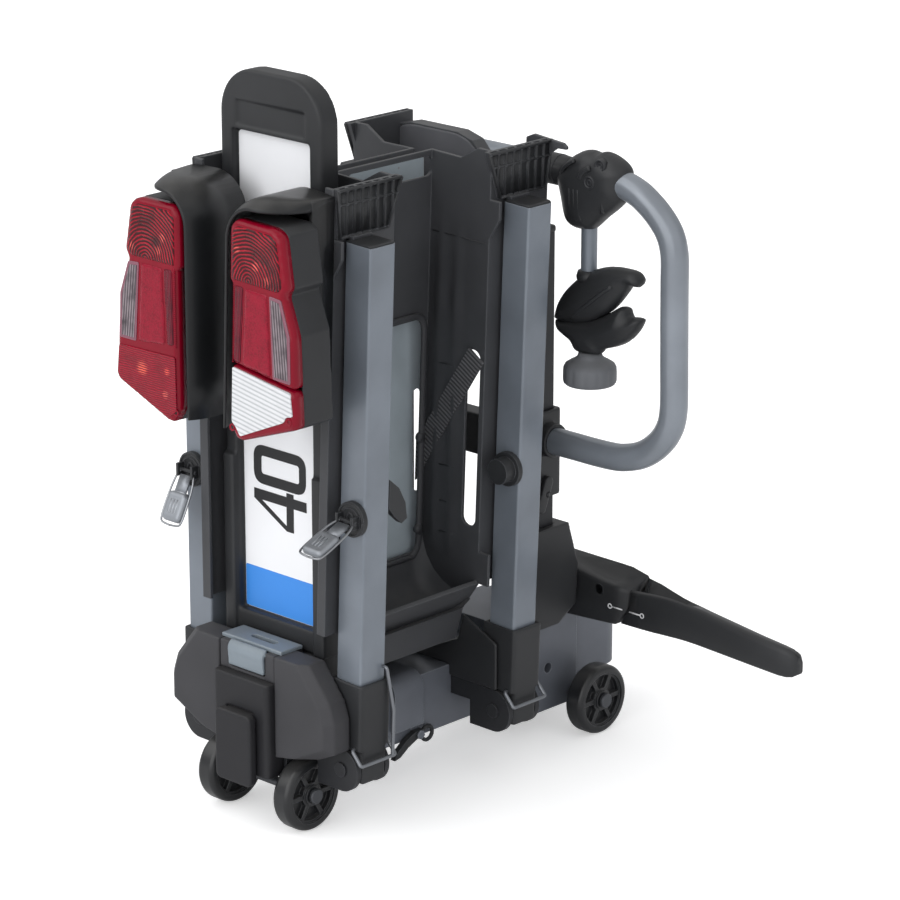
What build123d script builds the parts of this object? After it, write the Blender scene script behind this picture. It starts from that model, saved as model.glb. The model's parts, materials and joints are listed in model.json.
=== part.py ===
"""Bicycle carrier for a tow ball, folded and standing upright on its transport wheels.

Millimetres.  +X points to the right wing, +Y to the vehicle, +Z up.  The origin is on the
floor, on the mid-plane, midway between the two wheel axles.  Wing pieces are drawn upright on
the right-hand side: the right wing is then leaned outward, the left wing is the mirror image.
"""

import os
from math import cos, radians, sin

from build123d import *

os.makedirs("parts", exist_ok=True)

# Fits and walls
pin_play = 0.05
slide_play = 0.3
socket_play = 0.15
skin = 3.5
cover_wall = 3

# Wing hinges: the right wing leans outward by this angle when folded
hinge_x = 109
hinge_z = 80
pin_radius = 5
pin_head_radius = 8
pin_head_depth = 2
lean = 2.3

# Square tubes of the wings
rear_y = -184
front_y = 49.5
tube_x = 111
tube_side = 36
tube_wall = 2
tube_corner = 2.5
tube_foot = 151
tube_top = 651
cap_depth = 2.5
plug_depth = 16

# Shoes at the foot of the tubes, and the wire round each
shoe_inner = 88
shoe_outer = 134
shoe_foot = 68
shoe_step = 105
shoe_top = 179
shoe_half = 22
shoe_tongue_half = 17.4
wire_radius = 2
wire_bend = 2.5
wire_end_x = 126
wire_end_z = 107.5
wire_bar_x = 140
wire_bar_z = 93
wire_offset = 3.5

# Chassis: centre beam and the two cross-arms with their clevises
beam_half = 45
beam_low = 48
beam_top = 118
beam_wall = 3
beam_rear = -160
beam_front = 150
arm_half_x = 82
arm_half_y = 24
arm_low = 84
arm_top = 128
arm_wall = 4
cheek_thick = 6
cheek_radius = 24
cheek_lap = 8

# Saddle casting on the beam, and the hook on its side
saddle_rear = -69
saddle_front = -24
saddle_half = 52
saddle_low = 64
saddle_top = 124
saddle_round = 18
hook_y = -32
hook_z = 53.5
hook_thick = 7
hook_gap = 1.5
hook_pin_radius = 2.5
hook_ring = 8
hook_wire = 2.2
hook_ring_y = 14.5
hook_ring_drop = 3

# Transport wheels
wheel_radius = 40
wheel_width = 24
tread_round = 6
axle_radius = 5
axle_y = 210
rear_wheel_x = 58
front_wheel_x = 95
rim_radius = 31
hub_radius = 11
rim_depth = 3
pocket_depth = 6
spokes = 6
spoke_width = 5
nut_radius = 8.5
nut_depth = 5
wheel_gap = 0.6

# Rear fork between the rear wheels
fork_thick = 8.4
fork_half_y = 16
fork_low = 26
fork_bridge = 8

# Coupling casting and its ball socket
nose_half = 50
nose_low = 50
nose_top = 124
nose_rear = 216
nose_front = 306
nose_round = 28
ball_y = 262
socket_radius = 25.2
socket_depth = 45
cheek_outer = 60
cheek_low = 28
cheek_rear = 130
block_rear = 105
block_step = 190
block_top = 142
hub_seat_top = 138
tilt_hole_y = 168
tilt_hole_z = 78
tilt_hole_radius = 6

# Clamp lever of the coupling
lever_x = 112
lever_z = 178
lever_pin_radius = 6
hub_round = 43
hub_rear = 195
hub_front = 233
hub_left = -50
tongue_rear = 208
tongue_front = 220
tongue_radius = 36
tongue_play = 0.5
lever_gap = 1
lever_tip = 389
lever_tip_front = 215

# Mast and hoop
mast_x = 60
mast_y = 133
mast_side = 40
mast_wall = 2.5
mast_top = 590
mast_cap_depth = 8
mast_shoe_half = 30
mast_shoe_height = 116
hoop_radius = 14
hoop_wall = 2
hoop_low = 362
hoop_high = 666
hoop_end = 273
hoop_tail = -60
hoop_bend = 66
hoop_start = 88
sleeve_start = 78
sleeve_end = 105.5
sleeve_radius = 17
bracket_low = 293
bracket_top = 392
bracket_half = 26
bracket_tail_low = 326
bracket_tail_top = 373
bracket_tail_half = 12
collar_radius = 19
collar_end = 101
latch_y = 131
latch_z = 299
latch_thick = 6
latch_length = 30
latch_width = 13
latch_angle = 68
latch_pin_radius = 3

# Bicycle clamp on the hoop
clamp_half = 24
head_drop = 66
head_socket = 40
jaw_socket = 30
stem_x = 146
stem_radius = 8.75
stem_low = 550
screw_radius = 4
screw_depth = 8
screw_rise = 2
jaw_half = 18
jaw_pivot_x = 105
jaw_pivot_z = 502
knuckle_radius = 7
knuckle_half = 8
knuckle_gap = 0.6
jaw_pin_radius = 3
jaw_depth = 31
knob_x = 148
knob_depth = 22
knob_radius = 26
knob_lobes = 8
knob_lobe_radius = 6.5
neck_radius = 12.5
neck_length = 40
neck_gap = 0.4
stud_radius = 4
stud_rise = 26
stud_slot = 20

# Moulded trays of the wings
pan_rear = -132
pan_front = 18
deck_x = 0.5
web_x = 86
tray_low = 127
web_low = 226
deck_top = 692
tray_top = 707
comb_low = 655
comb_ribs = 8
comb_rib_width = 3
comb_depth = 3.5
lip_x = 78
lip_rear = -217
lip_front = 103
gusset_x = 103
gusset_low = 606
gusset_mid = 636
tab_x = 104
tab_top = 262
window_rear = -112
window_low = 241
window_top = 507
window_round = 14
rim_low = 664
rim_top = 686
rim_round = 7
wall_slot_x = 73
wall_slot_width = 20
wall_slot_low = 288
wall_slot_top = 487
pad_half = 9
pad_heights = (300, 560)
dome_rear = 83
dome_front = 100
dome_low = 640
dome_rise = 59
dome_reach = 40

# Grey sheet on the left tray, and the slot for the strap
sheet_thick = 1.5
sheet_rear = -112
sheet_front = 30
sheet_low = 205
sheet_top = 684
sheet_slot_rear = 12
sheet_slot_front = 24
sheet_slot_low = 310
sheet_slot_top = 426

# Strap in the right tray
strap_thick = 2.5
strap_width = 24
strap_top_x = 78
strap_top_z = 482
strap_low_x = -6
strap_low_z = 343

# Tail lamps and their hoods
lens_face = -301
lens_back = -287
lamp_back = -247
lamp_wall = 3
lens_round = 2
lamp_foot = 449
reversing_height = 72
lens_split_slope = -0.096
lens_gap = 0.6
hood_inner = 10
hood_outer = 92
hood_low = 455
hood_top = 702
hood_face = -297
hood_bend = 40
hood_arm = 6
hood_arm_low = 470

# Number plate holder and its seat
holder_half = 74.7
holder_low = 190
holder_top = 805
holder_rear = -194.3
holder_front = -169.3
holder_corner = 48
holder_edge = 4
pocket_half = 57
pocket_low = 216
pocket_top = 740
band_half = 51
band_low = 744
band_top = 772
band_depth = 3
plate_half = 55
plate_low = 218
plate_top = 738
plate_corner = 5
plate_thick = 1
plate_sink = 8.3
cell_width = 66
cell_height = 62
cell_rows = 8
side_wall_top = 388
side_wall_inner = 59
side_wall_rise = 5
seat_play = 0.3
seat_half = 70
seat_rear = -196
seat_front = -166
seat_lug_half = 30
seat_lug_top = 240

# Rear covers, latch and pedal
cover_face = -240
cover_inner = 42
cover_low = 84
cover_top = 197
cover_bevel = 9
column_half = 41.5
column_face = -250
column_low = 60
column_top = 166
latch_face = -239
paddle_half = 26.5
paddle_gap = 0.6
paddle_pivot_y = -236.2
paddle_pivot_z = 194
paddle_pin_radius = 1.8
top_plate_half = 45
top_plate_top = 201
top_plate_rear = -231.6
pedal_half = 27
pedal_face = -262
pedal_thick = 10
pedal_low = 50
pedal_top = 130
pedal_pivot_y = -246.5
pedal_barrel = 4
pedal_barrel_half = 20
pedal_pin_radius = 2
lug_thick = 4
lug_half = 5

# Cover behind the front cross-arm
arm_cover_thick = 3.5
arm_cover_half = 116
arm_cover_low = 106

# Strap ratchets on the tubes
ratchet_x = 115
ratchet_z = 361
ratchet_radius = 19
ratchet_base = 6
ratchet_pivot = 11
ratchet_pin_radius = 2
ratchet_hub = 4.5
ratchet_half = 9.2
ear_thick = 3
ear_half = 7
grip_half = 12.5
grip_start = 14
grip_reach = 60
grip_round = 9
grip_thick = 7
tail_width = 8
grip_angle_right = 26
grip_angle_left = 63
spool_radius = 14
spool_depth = 14

rear_arm_face = rear_y - arm_half_y
front_arm_face = front_y - arm_half_y
tube_places = (rear_y, front_y)
tube_inner_x = tube_x - tube_side / 2
tube_outer_x = tube_x + tube_side / 2
web_outer = web_x + skin
pin_bore = pin_radius + pin_play
axle_bore = axle_radius + pin_play
lean_axis = Axis((hinge_x, 0, hinge_z), (0, 1, 0))


def around(across, up, offsets):
    """Outline given by offsets from a centre."""
    return [(across + x, up + y) for x, y in offsets]


def rect(x0, x1, y0, y1):
    """Rectangle between limits, in the sketch that calls it."""
    with Locations(((x0 + x1) / 2, (y0 + y1) / 2)):
        Rectangle(x1 - x0, y1 - y0)


def block(x0, x1, y0, y1, z0, z1, mode=Mode.ADD):
    """Box between limits, in the part that calls it."""
    with Locations(((x0 + x1) / 2, (y0 + y1) / 2, (z0 + z1) / 2)):
        Box(x1 - x0, y1 - y0, z1 - z0, mode=mode)


def bar_x(x0, x1, y, z, radius, mode=Mode.ADD):
    """Round bar along X, in the part that calls it."""
    with Locations(Location(((x0 + x1) / 2, y, z), (0, 90, 0))):
        Cylinder(radius, x1 - x0, mode=mode)


def bar_y(y0, y1, x, z, radius, mode=Mode.ADD):
    """Round bar along Y, in the part that calls it."""
    with Locations(Location((x, (y0 + y1) / 2, z), (90, 0, 0))):
        Cylinder(radius, y1 - y0, mode=mode)


def slab_xz(points, y0, y1):
    """Plate with an outline in XZ, from y0 to y1."""
    with BuildPart() as slab:
        with BuildSketch(Plane.XZ.offset(-y0)):
            with BuildLine():
                Polyline(*points, close=True)
            make_face()
        extrude(amount=y0 - y1)
    return slab.part


def slab_yz(points, x0, x1):
    """Plate with an outline in YZ, from x0 to x1."""
    with BuildPart() as slab:
        with BuildSketch(Plane.YZ.offset(x0)):
            with BuildLine():
                Polyline(*points, close=True)
            make_face()
        extrude(amount=x1 - x0)
    return slab.part


def rod(points, radius, bend):
    """Round rod along straight runs joined by equal bends."""
    with BuildPart() as swept:
        with BuildLine() as path:
            FilletPolyline(*points, radius=bend)
        with BuildSketch(Plane(origin=path.line @ 0, z_dir=path.line % 0)):
            Circle(radius)
        sweep()
    return swept.part


def write(part, label):
    """Label a finished piece and write it."""
    part.label = label
    export_step(part, f"parts/{label}.step")


def write_right(part, label):
    """Lean a piece drawn for the right wing, then write it."""
    write(part.rotate(lean_axis, lean), f"{label}_right")


def write_left(part, label):
    """Mirror a piece drawn for the right wing to the left, then write it."""
    write(mirror(part, about=Plane.YZ), f"{label}_left")


# Centre beam: rectangular tube along Y
with BuildPart() as centre_beam:
    block(-beam_half, beam_half, beam_rear, beam_front, beam_low, beam_top)
    beam_bore_x = beam_half - beam_wall
    beam_bore_low = beam_low + beam_wall
    beam_bore_top = beam_top - beam_wall
    block(-beam_bore_x, beam_bore_x, beam_rear, beam_front, beam_bore_low, beam_bore_top, Mode.SUBTRACT)
    fillet(centre_beam.faces().filter_by(Axis.Y).edges().filter_by(GeomType.LINE).filter_by(Axis.Z), 0.5)
write(centre_beam.part, "centre_beam")

# Saddle casting over the beam, with the pin that carries the hook
hook_inner = beam_half + hook_gap
hook_outer = hook_inner + hook_thick
hook_head = hook_outer + slide_play
with BuildPart() as beam_saddle:
    with BuildSketch(Plane.XZ.offset(-saddle_rear)):
        rect(-saddle_half, saddle_half, saddle_low, saddle_top)
        fillet(vertices().group_by(Axis.Y)[-1], saddle_round)
    extrude(amount=saddle_rear - saddle_front)
    block(-beam_half, beam_half, saddle_rear, saddle_front, 0, beam_top, Mode.SUBTRACT)
    block(beam_half, hook_inner - slide_play, hook_y - 6, hook_y + 6, hook_z - 5, saddle_low)
    bar_x(beam_half, hook_head, hook_y, hook_z, hook_pin_radius)
    bar_x(hook_head, hook_head + pin_head_depth, hook_y, hook_z, 2 * hook_pin_radius)
write(beam_saddle.part, "beam_saddle")

# Hook with a ring at its front end, turning on the saddle's pin
hook_outline = around(hook_y, hook_z, [
    (-39, -20.5), (-34, -11.5), (-20, -1.5), (-6, 4.5), (6, 4.5),
    (8, -3.5), (-4, -4.5), (-18, -10.5), (-30, -18.5),
])
with BuildPart() as beam_hook:
    add(slab_yz(hook_outline, hook_inner, hook_outer))
    bar_x(hook_inner, hook_outer, hook_y, hook_z, hook_pin_radius + pin_play, Mode.SUBTRACT)
    ring_centre = ((hook_inner + hook_outer) / 2, hook_y + hook_ring_y, hook_z - hook_ring_drop)
    with Locations(Location(ring_centre, (0, 90, 0))):
        Torus(hook_ring, hook_wire)
write(beam_hook.part, "beam_hook")


def cross_arm(y):
    """Hollow arm across the chassis with a clevis at each end."""
    with BuildPart() as arm:
        block(-arm_half_x, arm_half_x, y - arm_half_y, y + arm_half_y, arm_low, arm_top)
        bore_y = arm_half_y - arm_wall
        block(-arm_half_x, arm_half_x, y - bore_y, y + bore_y,
              arm_low + arm_wall, arm_top - arm_wall, Mode.SUBTRACT)
        for side in (-1, 1):
            for cheek_y in (y - arm_half_y, y + arm_half_y - cheek_thick):
                x0, x1 = sorted((side * (arm_half_x - cheek_lap), side * hinge_x))
                block(x0, x1, cheek_y, cheek_y + cheek_thick, hinge_z - cheek_radius, hinge_z + cheek_radius)
                bar_y(cheek_y, cheek_y + cheek_thick, side * hinge_x, hinge_z, cheek_radius)
            bar_y(y - arm_half_y, y + arm_half_y, side * hinge_x, hinge_z, pin_bore, Mode.SUBTRACT)
    return arm.part


# Rear cross-arm, behind the end of the beam
write(cross_arm(rear_y), "rear_cross_arm")

# Front cross-arm, notched over the beam
with BuildPart() as front_cross_arm:
    add(cross_arm(front_y))
    block(-beam_half, beam_half, front_arm_face, front_y + arm_half_y, 0, beam_top, Mode.SUBTRACT)
write(front_cross_arm.part, "front_cross_arm")

# Pins of the four wing hinges and of the clamp lever
with BuildPart() as hinge_pins:
    for pin_y in tube_places:
        for pin_x in (-hinge_x, hinge_x):
            bar_y(pin_y - arm_half_y, pin_y + arm_half_y, pin_x, hinge_z, pin_radius)
            bar_y(pin_y - arm_half_y - pin_head_depth, pin_y - arm_half_y, pin_x, hinge_z, pin_head_radius)
            bar_y(pin_y + arm_half_y, pin_y + arm_half_y + pin_head_depth, pin_x, hinge_z, pin_head_radius)
    bar_y(hub_rear, hub_front, lever_x, lever_z, lever_pin_radius)
write(hinge_pins.part, "hinge_pins")

# Rear fork under the rear cross-arm
fork_half_x = rear_wheel_x - wheel_width / 2 - wheel_gap
with BuildPart() as rear_fork:
    block(-fork_half_x, fork_half_x, -axle_y - fork_half_y, -axle_y + fork_half_y, fork_low, arm_low)
    fork_inner = fork_half_x - fork_thick
    block(-fork_inner, fork_inner, -axle_y - fork_half_y, -axle_y + fork_half_y,
          fork_low, arm_low - fork_bridge, Mode.SUBTRACT)
    fillet(rear_fork.edges().filter_by(Axis.X).group_by(Axis.Z)[0], 10)
    bar_x(-fork_half_x, fork_half_x, -axle_y, wheel_radius, axle_bore, Mode.SUBTRACT)
write(rear_fork.part, "rear_fork")

# Axles with their nuts and the spacers of the front pair
with BuildPart() as axles:
    for y, wheel_x in ((-axle_y, rear_wheel_x), (axle_y, front_wheel_x)):
        nut_x = wheel_x + wheel_width / 2 + wheel_gap
        bar_x(-nut_x - nut_depth, nut_x + nut_depth, y, wheel_radius, axle_radius)
        for side in (-1, 1):
            x0, x1 = sorted((side * nut_x, side * (nut_x + nut_depth)))
            bar_x(x0, x1, y, wheel_radius, nut_radius)
    for side in (-1, 1):
        x0, x1 = sorted((side * cheek_outer, side * (front_wheel_x - wheel_width / 2 - wheel_gap)))
        bar_x(x0, x1, axle_y, wheel_radius, nut_radius)
    chamfer(axles.edges().filter_by(GeomType.CIRCLE).filter_by(lambda e: e.radius == nut_radius), 1)
write(axles.part, "axles")


def transport_wheel():
    """Solid wheel about the X axis at the origin, with spoke pockets in both faces."""
    half = wheel_width / 2
    with BuildPart() as wheel:
        with BuildSketch(Plane.YZ.offset(-half)):
            Circle(wheel_radius)
        extrude(amount=wheel_width)
        fillet(wheel.edges().filter_by(GeomType.CIRCLE), tread_round)
        for side in (-1, 1):
            with BuildSketch(Plane.YZ.offset(side * (half - rim_depth))):
                Circle(rim_radius)
                Circle(hub_radius, mode=Mode.SUBTRACT)
            extrude(amount=side * rim_depth, mode=Mode.SUBTRACT)
            with BuildSketch(Plane.YZ.offset(side * (half - rim_depth - pocket_depth))):
                Circle(rim_radius - 2.5)
                Circle(hub_radius + 2.5, mode=Mode.SUBTRACT)
                with PolarLocations(rim_radius / 2, spokes):
                    Rectangle(rim_radius, spoke_width, mode=Mode.SUBTRACT)
            extrude(amount=side * pocket_depth, mode=Mode.SUBTRACT)
        bar_x(-half, half, 0, 0, axle_bore, Mode.SUBTRACT)
    return wheel.part


# Four transport wheels
wheel_part = transport_wheel()
for end, y, wheel_x in (("rear", -axle_y, rear_wheel_x), ("front", axle_y, front_wheel_x)):
    for side, sign in (("left", -1), ("right", 1)):
        write(wheel_part.moved(Location((sign * wheel_x, y, wheel_radius))), f"wheel_{end}_{side}")

# Coupling casting: block under the mast, cheeks beside the beam, nose with the ball socket
with BuildPart() as coupling_casting:
    block(-cheek_outer, cheek_outer, block_rear, block_step, beam_top, block_top)
    block(-cheek_outer, cheek_outer, block_step, nose_rear, beam_top, hub_seat_top)
    for side in (-1, 1):
        x0, x1 = sorted((side * beam_half, side * cheek_outer))
        block(x0, x1, cheek_rear, nose_rear, cheek_low, beam_top)
    fillet(coupling_casting.edges().filter_by(Axis.X).group_by(Axis.Z)[0], 12)
    with BuildSketch(Plane.XY.offset(nose_low)):
        rect(-nose_half, nose_half, nose_rear, nose_front)
        fillet(vertices().group_by(Axis.Y)[-1], nose_round)
    extrude(amount=nose_top - nose_low)
    block(-nose_half, nose_half, nose_rear, hub_front, nose_top, hub_seat_top)
    with Locations((0, ball_y, nose_low + socket_depth / 2)):
        Cylinder(socket_radius, socket_depth, mode=Mode.SUBTRACT)
    bar_x(-cheek_outer, cheek_outer, tilt_hole_y, tilt_hole_z, tilt_hole_radius, Mode.SUBTRACT)
    bar_x(-cheek_outer, cheek_outer, axle_y, wheel_radius, axle_bore, Mode.SUBTRACT)
write(coupling_casting.part, "coupling_casting")

# Lever hub on the coupling: rounded block with a slot for the lever's tongue
hub_top = lever_z + hub_round - 2
hub_outline = [(hub_left, hub_seat_top), (hub_left, hub_top - 23), (lever_x - 62, hub_top - 13),
               (lever_x - 42, hub_top - 2), (lever_x, hub_top), (lever_x, hub_seat_top)]
with BuildPart() as lever_hub:
    add(slab_xz(hub_outline, hub_rear, hub_front))
    bar_y(hub_rear, hub_front, lever_x, lever_z, hub_round)
    slot_rear = tongue_rear - tongue_play
    slot_front = tongue_front + tongue_play
    bar_y(slot_rear, slot_front, lever_x, lever_z, tongue_radius + 1, Mode.SUBTRACT)
    block(lever_x - 5, lever_x + hub_round, slot_rear, slot_front,
          lever_z - hub_round, lever_z + hub_round, Mode.SUBTRACT)
    bar_y(hub_rear, hub_front, lever_x, lever_z, lever_pin_radius + pin_play, Mode.SUBTRACT)
write(lever_hub.part, "lever_hub")

# Clamp lever: long arm that tapers to its tip, with a tongue in the hub's slot
lever_root = around(lever_x, lever_z, [(84, 30), (53, 39), (21, 39), (0, 0), (15, -41), (127, -30)])
lever_end = around(lever_tip, lever_z, [(-22, -39.5), (0, -30.5), (0, -13), (-14, 2.5)])
taper_x = lever_x + 53
with BuildPart() as clamp_lever:
    add(slab_xz(lever_root + lever_end, hub_rear, hub_front))
    bar_y(hub_rear, hub_front, lever_x, lever_z, hub_round + lever_gap, Mode.SUBTRACT)
    with BuildSketch(Plane.XY.offset(lever_z - 2 * hub_round)):
        with BuildLine():
            Polyline((taper_x, hub_front), (lever_tip, lever_tip_front), (lever_tip, hub_front), close=True)
        make_face()
    extrude(amount=4 * hub_round, mode=Mode.SUBTRACT)
    bar_y(tongue_rear, tongue_front, lever_x, lever_z, tongue_radius)
    block(lever_x, lever_x + hub_round + 8, tongue_rear, tongue_front,
          lever_z - hub_round / 2, lever_z + hub_round / 2)
    bar_y(hub_rear, hub_front, lever_x, lever_z, lever_pin_radius + pin_play, Mode.SUBTRACT)
write(clamp_lever.part, "clamp_lever")

# Mast: square tube standing on the casting
with BuildPart() as mast:
    with BuildSketch(Plane.XY.offset(block_top)):
        with Locations((mast_x, mast_y)):
            RectangleRounded(mast_side, mast_side, tube_corner)
            Rectangle(mast_side - 2 * mast_wall, mast_side - 2 * mast_wall, mode=Mode.SUBTRACT)
    extrude(amount=mast_top - block_top)
write(mast.part, "mast")

# Shoe and cap of the mast
mast_socket = mast_side / 2 + socket_play
shoe_outline = around(mast_y, block_top, [
    (-28, 0), (20, 0), (48, 18), (51, 65), (35, mast_shoe_height), (-28, mast_shoe_height),
])
with BuildPart() as mast_shoe:
    add(slab_yz(shoe_outline, mast_x - mast_shoe_half, mast_x + mast_shoe_half))
    block(mast_x - mast_socket, mast_x + mast_socket, mast_y - mast_socket, mast_y + mast_socket,
          block_top, block_top + mast_shoe_height, Mode.SUBTRACT)

with BuildPart() as mast_fittings:
    with BuildSketch(Plane.XY.offset(mast_top)):
        with Locations((mast_x, mast_y)):
            RectangleRounded(mast_side + 2, mast_side + 2, tube_corner)
    extrude(amount=mast_cap_depth)
    chamfer(mast_fittings.faces().sort_by(Axis.Z)[-1].edges(), 1.5)
    plug_half = mast_side / 2 - mast_wall - socket_play
    block(mast_x - plug_half, mast_x + plug_half, mast_y - plug_half, mast_y + plug_half,
          mast_top - plug_depth, mast_top)
    add(mast_shoe.part)
write(mast_fittings.part, "mast_fittings")

# Sliding bracket on the mast, with the collar of the hoop and a tail to the left
bracket_bore = mast_side / 2 + slide_play
with BuildPart() as mast_bracket:
    with BuildSketch(Plane.XY.offset(bracket_low)):
        with Locations((mast_x, mast_y)):
            RectangleRounded(2 * bracket_half, 2 * bracket_half, 5)
    extrude(amount=bracket_top - bracket_low)
    block(hoop_tail, mast_x, mast_y - bracket_tail_half, mast_y + bracket_tail_half,
          bracket_tail_low, bracket_tail_top)
    bar_x(mast_x, collar_end, mast_y, hoop_low, collar_radius)
    block(mast_x - bracket_bore, mast_x + bracket_bore, mast_y - bracket_bore, mast_y + bracket_bore,
          bracket_low, bracket_top, Mode.SUBTRACT)
    bar_x(hoop_start, collar_end, mast_y, hoop_low, hoop_radius + socket_play, Mode.SUBTRACT)
    bracket_face = mast_x + bracket_half
    bar_x(bracket_face - 1, bracket_face + latch_thick + 1, latch_y, latch_z, latch_pin_radius)
write(mast_bracket.part, "mast_bracket")

# Latch of the bracket, turning on its pin
latch_inner = bracket_face + slide_play
with BuildPart() as bracket_latch:
    with BuildSketch(Plane.YZ.offset(latch_inner)):
        with Locations((latch_y - 4, latch_z)):
            SlotCenterToCenter(latch_length, latch_width, rotation=latch_angle)
    extrude(amount=latch_thick)
    bar_x(latch_inner, latch_inner + latch_thick, latch_y, latch_z,
          latch_pin_radius + pin_play, Mode.SUBTRACT)
write(bracket_latch.part, "bracket_latch")

# Hoop: bent round tube from the bracket's collar to its free tail
with BuildPart() as hoop_tube:
    with BuildLine() as hoop_path:
        FilletPolyline(
            (hoop_start, mast_y, hoop_low),
            (hoop_end, mast_y, hoop_low),
            (hoop_end, mast_y, hoop_high),
            (hoop_tail, mast_y, hoop_high),
            radius=hoop_bend,
        )
    with BuildSketch(Plane(origin=hoop_path.line @ 0, z_dir=hoop_path.line % 0)):
        Circle(hoop_radius)
        Circle(hoop_radius - hoop_wall, mode=Mode.SUBTRACT)
    sweep()
write(hoop_tube.part, "hoop_tube")

# Sleeve and end cap of the hoop's upper leg
with BuildPart() as hoop_sleeves:
    bar_x(sleeve_start, sleeve_end, mast_y, hoop_high, sleeve_radius)
    bar_x(sleeve_start, sleeve_end, mast_y, hoop_high, hoop_radius + pin_play, Mode.SUBTRACT)
    bar_x(hoop_tail - 3, hoop_tail, mast_y, hoop_high, hoop_radius)
    bar_x(hoop_tail, hoop_tail + plug_depth, mast_y, hoop_high, hoop_radius - hoop_wall - socket_play)
write(hoop_sleeves.part, "hoop_sleeves")

# Clamp head round the hoop
head_outline = around(stem_x, hoop_high, [
    (-40, 18), (-34, -19), (-28, -60), (-17, -63), (15, -55), (36, -44), (50, -18),
    (57, -4), (56, 26), (45, 33), (22, 32), (0, 25), (-28, 23),
])
head_section = around(mast_y, hoop_high, [
    (-13, -head_drop), (-17, -36), (-clamp_half, -16), (-clamp_half, 16), (-14, 35),
    (14, 35), (clamp_half, 16), (clamp_half, -16), (17, -36), (13, -head_drop),
])
head_inner = stem_x - 46
head_outer = stem_x + 64
head_low = hoop_high - head_drop
stem_top = head_low + head_socket
screw_places = around(stem_x, hoop_high, [(30, 22), (13, -26)])
with BuildPart() as clamp_head:
    add(slab_xz(head_outline, mast_y - clamp_half, mast_y + clamp_half))
    add(slab_yz(head_section, head_inner, head_outer), mode=Mode.INTERSECT)
    bar_x(head_inner, head_outer, mast_y, hoop_high, hoop_radius + pin_play, Mode.SUBTRACT)
    with Locations((stem_x, mast_y, (head_low + stem_top) / 2)):
        Cylinder(stem_radius + pin_play, head_socket, mode=Mode.SUBTRACT)
    for x, z in screw_places:
        bar_y(mast_y - clamp_half, mast_y - clamp_half + screw_depth, x, z, screw_radius, Mode.SUBTRACT)
write(clamp_head.part, "clamp_head")

# Two screws in the head and the pin of the jaws
with BuildPart() as clamp_screws:
    for x, z in screw_places:
        bar_y(mast_y - clamp_half - screw_rise, mast_y - clamp_half + screw_depth, x, z, screw_radius)
    bar_y(mast_y - jaw_half - 1, mast_y + jaw_half + 1, jaw_pivot_x, jaw_pivot_z, jaw_pin_radius)
write(clamp_screws.part, "clamp_screws")

# Stem between the head and the upper jaw
with BuildPart() as clamp_stem:
    with BuildSketch(Plane.XY.offset(stem_low)):
        with Locations((stem_x, mast_y)):
            Circle(stem_radius)
    extrude(amount=stem_top - stem_low)
write(clamp_stem.part, "clamp_stem")

# Upper jaw, with a slot for the swing of the stud
upper_jaw_outline = around(jaw_pivot_x, jaw_pivot_z, [
    (-6, 1), (0, 19), (15, 41), (34, 56), (54, 64), (76, 72), (93, 73), (108, 72),
    (117, 62), (111, 55), (102, 56), (89, 36), (79, 25), (53, 9),
])
jaw_clear = knuckle_radius + knuckle_gap
stud_top = jaw_pivot_z + stud_rise
with BuildPart() as upper_jaw:
    add(slab_xz(upper_jaw_outline, mast_y - jaw_half, mast_y + jaw_half))
    bar_y(mast_y - jaw_half, mast_y + jaw_half, jaw_pivot_x, jaw_pivot_z, knuckle_radius)
    bar_y(mast_y - knuckle_half - slide_play, mast_y + knuckle_half + slide_play,
          jaw_pivot_x, jaw_pivot_z, jaw_clear, Mode.SUBTRACT)
    bar_y(mast_y - jaw_half, mast_y + jaw_half, jaw_pivot_x, jaw_pivot_z, jaw_pin_radius, Mode.SUBTRACT)
    with Locations((stem_x, mast_y, stem_low + jaw_socket / 2)):
        Cylinder(stem_radius + pin_play, jaw_socket, mode=Mode.SUBTRACT)
    stud_side = stud_radius + 1
    block(knob_x - stud_side - 1, knob_x - stud_side - 1 + stud_slot, mast_y - stud_side, mast_y + stud_side,
          jaw_pivot_z, stud_top + 4, Mode.SUBTRACT)
write(upper_jaw.part, "upper_jaw")

# Lower jaw, turning on the jaw pin
lower_jaw_outline = around(jaw_pivot_x, jaw_pivot_z, [
    (-6, 0), (3, -14), (21, -21), (27, -jaw_depth), (44, -jaw_depth), (62, -25), (65, -20), (93, -10),
    (109, -1), (119, 14), (119, 21), (114, 22), (101, 22), (98, 30), (94, 31), (83, 27), (68, 13), (52, 8),
])
with BuildPart() as lower_jaw:
    add(slab_xz(lower_jaw_outline, mast_y - jaw_half, mast_y + jaw_half))
    for side in (-1, 1):
        y0, y1 = sorted((mast_y + side * (knuckle_half - slide_play), mast_y + side * jaw_half))
        bar_y(y0, y1, jaw_pivot_x, jaw_pivot_z, jaw_clear, Mode.SUBTRACT)
    bar_y(mast_y - knuckle_half + slide_play, mast_y + knuckle_half - slide_play,
          jaw_pivot_x, jaw_pivot_z, knuckle_radius)
    bar_y(mast_y - jaw_half, mast_y + jaw_half, jaw_pivot_x, jaw_pivot_z,
          jaw_pin_radius + pin_play, Mode.SUBTRACT)
    with Locations((knob_x, mast_y, jaw_pivot_z)):
        Cylinder(stud_radius + pin_play, 2 * jaw_half + 2 * jaw_depth, mode=Mode.SUBTRACT)
write(lower_jaw.part, "lower_jaw")

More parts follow.
